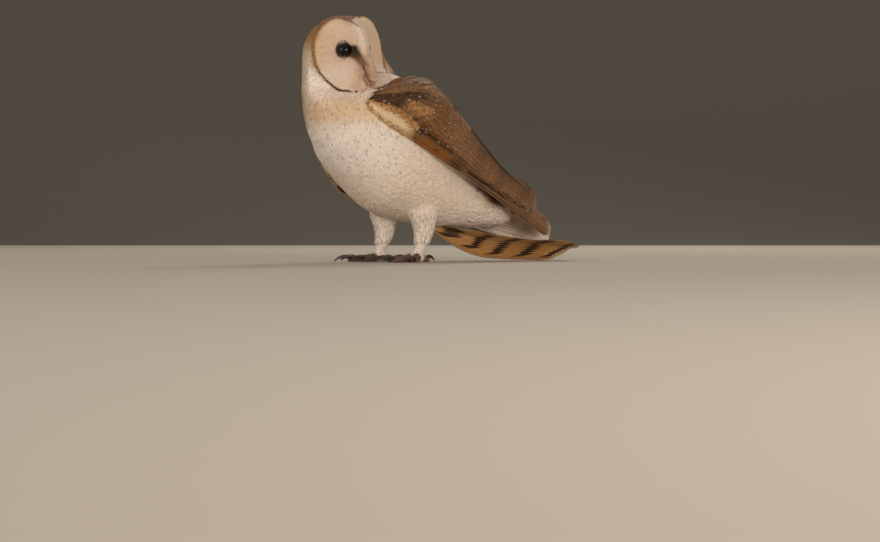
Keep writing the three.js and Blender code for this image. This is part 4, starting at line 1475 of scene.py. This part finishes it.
# how far past the lid's free edge, in radians, and how far off the globe
LID_BAND = [
    (0.0, 0.05), (0.01, 0.3), (0.06, 0.5), (0.14, 0.45), (0.34, 0.1), (0.25, -0.5), (0.1, -0.3)
]
LID_TUFTS, LID_ROWS = 70, [0.14, 0.26, 0.4]
LID_FEATHERS = LID_TUFTS * len(LID_ROWS)
for side, name in ((1, "left"), (-1, "right")):
    centre = EYE * [side, 1, 1]
    ahead = unit(np.array([side * 0.46, -0.88, 0.02]))
    across = unit(np.cross(ahead, [0, 0, 1.0]))
    high = np.cross(across, ahead)
    angles = np.linspace(0.02, np.pi - 0.02, BALL_RINGS)
    turn = np.linspace(0, 2 * np.pi, AROUND, endpoint=False)
    spread = np.cos(turn)[:, None] * across + np.sin(turn)[:, None] * high
    rings = ahead * np.cos(angles)[:, None, None] + spread[None] * np.sin(angles)[:, None, None]
    swell = EYE_RADIUS * (1 + 0.035 * np.exp(-((angles / 0.75) ** 4)))
    points = centre + rings * swell[:, None, None]
    ball_points = from_head(points.reshape(-1, 3))
    ball_faces = outwards_first(ball_points, grid_faces(BALL_RINGS, AROUND))
    eye = make_object(f"eye_{name}_wet", ball_points, ball_faces, wet_eye)
    pupil = 1 - ramp(angles, 0.42, 0.48)[:, None]
    iris = colour("#160c06") * (1 - pupil) + colour("#020202") * pupil
    shown = np.ones((BALL_RINGS, AROUND, 4))
    shown[..., :3] = iris[:, None]
    add_layer(eye.data, "tint", shown)
    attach(eye, "root")
    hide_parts(f"eye_{name}")
    # lid: a closed band on the globe, from its free edge to under the feathers
    opening = lid_edge(turn)
    rings = []
    for extra, lift in LID_BAND:
        angle = (opening + extra)[:, None]
        ring = ahead * np.cos(angle) + spread * np.sin(angle)
        rings.append(centre + ring * (EYE_RADIUS * 1.02 + lift))
    points = from_head(np.stack(rings, 1).reshape(-1, 3))
    lid_faces = []
    for i in range(AROUND):
        here, there = i * len(LID_BAND), (i + 1) % AROUND * len(LID_BAND)
        for k in range(len(LID_BAND)):
            m = (k + 1) % len(LID_BAND)
            lid_faces.append([here + k, there + k, there + m, here + m])
    lid = make_object(f"lid_{name}", points, outwards_first(points, lid_faces), lid_skin)
    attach(lid, "root")
    # tiny feathers on the lids, from just behind their edge outwards
    turn = np.repeat(np.linspace(0, 2 * np.pi, LID_TUFTS, endpoint=False), len(LID_ROWS))
    turn = turn + rng.normal(0, 0.03, LID_FEATHERS)
    start = lid_edge(turn) + np.tile(LID_ROWS, LID_TUFTS)
    angle = start[:, None] + np.array([0, 0.12, 0.26, 0.4])[None]
    spread = np.cos(turn)[:, None] * across + np.sin(turn)[:, None] * high
    radial = ahead * np.cos(angle)[..., None] + spread[:, None] * np.sin(angle)[..., None]
    lift = EYE_RADIUS + np.array([0.2, 0.65, 0.9, 1.0])[None, :, None]
    spines = from_head((centre + radial * lift).reshape(-1, 3)).reshape(-1, 4, 3)
    ups = radial @ HEAD_AXES.T
    ways = unit(np.gradient(spines, axis=1))
    sooty = 0.97 - 0.9 * ramp(angle - lid_edge(turn)[:, None], 0.2, 0.38)
    tints = blend(np.tile(PALETTE["face"], (LID_FEATHERS, 4, 1)), "soot", sooty)
    inner_corner = between(np.cos(turn) * -side, 0.5, 1.5, 0.3)[:, None] * np.ones(4)
    tints = along_blade(blend(tints, "bark", 0.85 * inner_corner), 0.0)
    widths = np.full(LID_FEATHERS, 1.1)
    blades(f"lid_feathers_{name}", spines, ups, ways, widths, 0.2, tints, unwrap(spines[:, 0]))

# %% [markdown]
# ## Bill and claws
# Both halves of the bill and all claws are horn: hard, smooth and a little glossy. The bill is a
# pale pinkish brown, the claws are nearly black and paler at the root.

# %% Horn


def horny(name, waves, dark, pale, roughness):
    """A finish with soft streaks from dark to pale."""
    material, tree = new_material(name)
    streaked = mixed_colour(tree, noise(tree, waves), rgba(dark), rgba(pale))
    shader = add_node(tree, "ShaderNodeBsdfPrincipled", Base_Color=streaked, Roughness=roughness)
    finish_material(tree, shader)
    return material, shader


bill_horn, shader = horny("pale_bill_horn", 260.0, "#8c6853", "#b8937b", 0.38)
shader.inputs["Subsurface Weight"].default_value = 0.1
shader.inputs["Subsurface Scale"].default_value = 0.002
claw_horn, _ = horny("dark_claw_horn", 300.0, "#1c1613", "#4a3f38", 0.32)


def horn(name, rows, sizes, material, across_way, rings=22, round_count=24):
    """A tapering horn along a curve, with half widths and half depths."""
    path, size = through(rows), through(np.column_stack([sizes, np.zeros(len(sizes))]))
    t = np.linspace(0, 1, rings)
    middle, form = path(t), size(t)
    ahead = unit(path(np.minimum(t + 0.02, 1)) - path(np.maximum(t - 0.02, 0)))
    side = flat_on(np.tile(across_way, (rings, 1)), ahead)
    up = np.cross(ahead, side)
    turn = np.linspace(0, 2 * np.pi, round_count, endpoint=False)
    points = middle[:, None] + side[:, None] * np.cos(turn)[None, :, None] * form[:, None, :1]
    points = points + up[:, None] * np.sin(turn)[None, :, None] * form[:, None, 1:2]
    points = points.reshape(-1, 3)
    faces = outwards_first(points, grid_faces(rings, round_count))
    return make_object(name, points, faces, material)


head_left = HEAD_AXES @ np.array([1.0, 0, 0])
upper_rows = [[0, -33, -12], [0, -39, -15.5], [0, -43.5, -22], [0, -44, -29], [0, -41.5, -36]]
upper_sizes = [[3.2, 4], [4.1, 5], [3.7, 4.8], [2.5, 3.6], [0.45, 0.6]]
lower_rows = [[0, -31, -23], [0, -35.5, -27], [0, -38.4, -31.5], [0, -39.4, -34.4]]
lower_sizes = [[3.4, 2.6], [3.6, 2.8], [2.6, 2], [0.8, 0.5]]
for name, rows, sizes in (("upper", upper_rows, upper_sizes), ("lower", lower_rows, lower_sizes)):
    piece = horn(f"bill_{name}_horn", from_head(np.array(rows, float)), sizes, bill_horn, head_left)
    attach(piece, "root")
    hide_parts(f"bill_{name}")

# %% [markdown]
# ## Feet
# Each toe has rows of small horny scutes on top and ends in a long curved claw. A Geometry Nodes
# tree lays the scutes: it walks along a toe's curve, puts one scute at each step, turned across
# it, makes them real and gives them their finish.

# %% Claws
LEGS = {"left": (25.0, 14.0, 1), "right": (-25.0, -2.0, -1)}
TOE_FORMS = {
    # name: degrees from straight ahead, length, claw's length
    "middle": (-6, 33, 17), "inner": (26, 30, 17), "outer": (-52, 28, 15), "hind": (152, 19, 14),
}


def along_toe(leg, toe, distance, height):
    """A place on a toe at a distance from the leg's foot and a height."""
    x, y, side = LEGS[leg]
    angle = math.radians(TOE_FORMS[toe][0]) * -side
    distance = np.asarray(distance, float)
    x, y = x + math.sin(angle) * distance, y - math.cos(angle) * distance
    return np.stack([x, y, np.asarray(height, float)], -1)


for leg in LEGS:
    for toe, (_, length, claw) in TOE_FORMS.items():
        shares = np.array([-0.2, 0.18, 0.5, 0.78, 0.94])
        rows = along_toe(leg, toe, length + shares * claw, [4, 5.4, 5, 3, 0.7])
        ahead = rows[1] - rows[0]
        radius = 2.3 + (0.35 - 2.3) * np.linspace(0, 1, 5) ** 1.3
        sizes = np.column_stack([radius * 0.8, radius])
        across_way = np.cross([0, 0, 1.0], ahead)
        piece = horn(f"claw_{leg}_{toe}_horn", rows, sizes, claw_horn, across_way, 16, 14)
        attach(piece, "root")
        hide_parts(f"claw_{leg}_{toe}")

# %% Scutes by Geometry Nodes
toe_skin, _ = horny("horny_toe_scutes", 500.0, "#54402f", "#8d7058", 0.6)
SCUTE_PROFILE = [(-0.55, 0.9), (-0.2, 1.08), (0.35, 1.04), (0.55, 0.92)]
SCUTE_TURNS = np.linspace(-0.42 * np.pi, 0.42 * np.pi, 9)
scute_points, scute_faces = [], []
for x, swell in SCUTE_PROFILE:
    for turn in SCUTE_TURNS:
        scute_points.append([math.sin(turn) * swell, math.cos(turn) * swell, x])
wide, top = len(SCUTE_TURNS), len(scute_points)
for a in range(top - wide):
    if (a + 1) % wide:
        scute_faces.append([a, a + 1, a + wide + 1, a + wide])
inner = [[p[0] * 0.85, p[1] * 0.85, p[2]] for p in scute_points]
scute_faces += [[corner + top for corner in reversed(face)] for face in scute_faces]
far_edge = range(top - 1, top - wide - 1, -1)
border = [*range(wide), 2 * wide - 1, 3 * wide - 1, *far_edge, 2 * wide, wide]
scute_faces += [[b, a, a + top, b + top] for a, b in zip(border, border[1:] + border[:1])]
scute_mesh = bpy.data.meshes.new("scute")
scute_mesh.from_pydata(scute_points + inner, [], scute_faces)
scute_mesh.shade_smooth()
scute = bpy.data.objects.new("scute", scute_mesh)

group = bpy.data.node_groups.new("scutes_along_a_toe", "GeometryNodeTree")
sockets = {}
GIVEN = {
    "Toe": "Geometry", "Scutes": "Int", "Scute": "Object", "Size": "Float", "Finish": "Material",
}
for label, kind in GIVEN.items():
    kind = f"NodeSocket{kind}"
    sockets[label] = group.interface.new_socket(label, in_out="INPUT", socket_type=kind).identifier
group.interface.new_socket("Geometry", in_out="OUTPUT", socket_type="NodeSocketGeometry")
given = add_node(group, "NodeGroupInput")
toe_curve, steps = given.outputs["Toe"], given.outputs["Scutes"]
walk = add_node(
    group, "GeometryNodeCurveToPoints", {"mode": "COUNT"}, Curve=toe_curve, Count=steps
)
one = add_node(group, "GeometryNodeObjectInfo", Object=given.outputs["Scute"])
number = add_node(group, "GeometryNodeInputIndex")
share = reckon(group, "DIVIDE", number.outputs[0], steps)
shrink = reckon(group, "MULTIPLY_ADD", share, -0.24, 1.0)
size = reckon(group, "MULTIPLY", shrink, given.outputs["Size"])
laid = add_node(
    group, "GeometryNodeInstanceOnPoints", Points=walk.outputs["Points"],
    Instance=one.outputs["Geometry"], Rotation=walk.outputs["Rotation"], Scale=size,
)
real = add_node(group, "GeometryNodeRealizeInstances", Geometry=laid.outputs[0])
finish = given.outputs["Finish"]
finished = add_node(
    group, "GeometryNodeSetMaterial", Geometry=real.outputs[0], Material=finish
)
add_node(group, "NodeGroupOutput", Geometry=finished.outputs[0])

for leg in LEGS:
    for toe, (_, length, _) in TOE_FORMS.items():
        data = bpy.data.curves.new("toe_line", "CURVE")
        data.dimensions = "3D"
        line = data.splines.new("POLY")
        share = np.linspace(0.16, 0.97, 12)
        height = np.interp(share, [0, 0.3, 0.62, 1], [4.9, 4.6, 4.0, 3.1])
        path = along_toe(leg, toe, share * length, height)
        line.points.add(len(path) - 1)
        for point, spot in zip(line.points, to_frame(path)):
            point.co = (*spot, 1)
        line_object = placed("toe_line", data)
        modifier = line_object.modifiers.new("scutes", "NODES")
        modifier.node_group = group
        modifier[sockets["Scutes"]] = int(length / 2.1)
        modifier[sockets["Scute"]] = scute
        modifier[sockets["Size"]] = 3.75 * MM
        modifier[sockets["Finish"]] = toe_skin
        bpy.context.view_layer.update()
        evaluated = line_object.evaluated_get(bpy.context.evaluated_depsgraph_get())
        mesh = bpy.data.meshes.new_from_object(evaluated)
        bpy.data.objects.remove(line_object)
        scutes = placed(f"scutes_{leg}_{toe}", mesh)
        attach(scutes, "root")
        print(scutes.name, len(mesh.vertices), "points")

# %% [markdown]
# ## Floor and light
# A pale floor runs up into a darker wall behind, as in a studio, so that the coat stands out. One
# broad warm lamp stands low on the owl's left and does most of the work, which brings out the
# relief of the disc and the ruff. A weaker one in front fills the shadows, and a third high behind
# lifts the back's edge.

# %% Studio
BEND_AT, BEND_RADIUS, WALL_TOP = 2.2, 1.2, 4.5
profile = [(-3.0, 0.0), (BEND_AT, 0.0)]
for a in np.linspace(0.1, math.pi / 2, 12):
    profile.append((BEND_AT + BEND_RADIUS * math.sin(a), BEND_RADIUS * (1 - math.cos(a))))
profile.append((BEND_AT + BEND_RADIUS, WALL_TOP))
view = math.radians(60)
floor_points, floor_faces = [], []
for near, up in profile:
    for across in (-6, 6):
        x = -math.sin(view) * near + math.cos(view) * across
        y = math.cos(view) * near + math.sin(view) * across
        floor_points.append((x, y, up - 0.0002))
for i in range(0, 2 * len(profile) - 2, 2):
    floor_faces.append([i, i + 1, i + 3, i + 2])
floor_mesh = bpy.data.meshes.new("floor")
floor_mesh.from_pydata(floor_points, [], floor_faces)
floor_mesh.shade_smooth()
floor = placed("floor", floor_mesh)
for name, tone in (("pale_matt_floor_paint", "#c4bcae"), ("grey_matt_wall_paint", "#6f6a62")):
    paint, tree = new_material(name)
    shader = add_node(tree, "ShaderNodeBsdfPrincipled", Base_Color=rgba(tone), Roughness=0.9)
    finish_material(tree, shader)
    floor_mesh.materials.append(paint)
for number, quad in enumerate(floor_mesh.polygons):
    quad.material_index = 0 if number == 0 else 1


def lamp(name, place, power, size, tone):
    data = bpy.data.lights.new(name, "AREA")
    data.energy, data.size = power, size
    data.color = colour(tone)
    light = placed(name, data)
    light.location = place
    goal = Vector((0, 0, 0.13))
    light.rotation_euler = (goal - light.location).to_track_quat("-Z", "Y").to_euler()


lamp("key", (2.15, -0.35, 0.2), 22, 0.7, "#fff3e8")
lamp("fill", (0.5, -2.1, 0.3), 10, 1.0, "#fff3e8")
lamp("rim", (-1.2, 1.4, 1.6), 16, 0.8, "#fff4e6")
world = bpy.data.worlds.new("studio")
bpy.context.scene.world = world
world.use_nodes = True
world.node_tree.nodes["Background"].inputs["Color"].default_value = rgba("#efe7df")
world.node_tree.nodes["Background"].inputs["Strength"].default_value = 0.5
bpy.context.scene.view_settings.view_transform = "Standard"
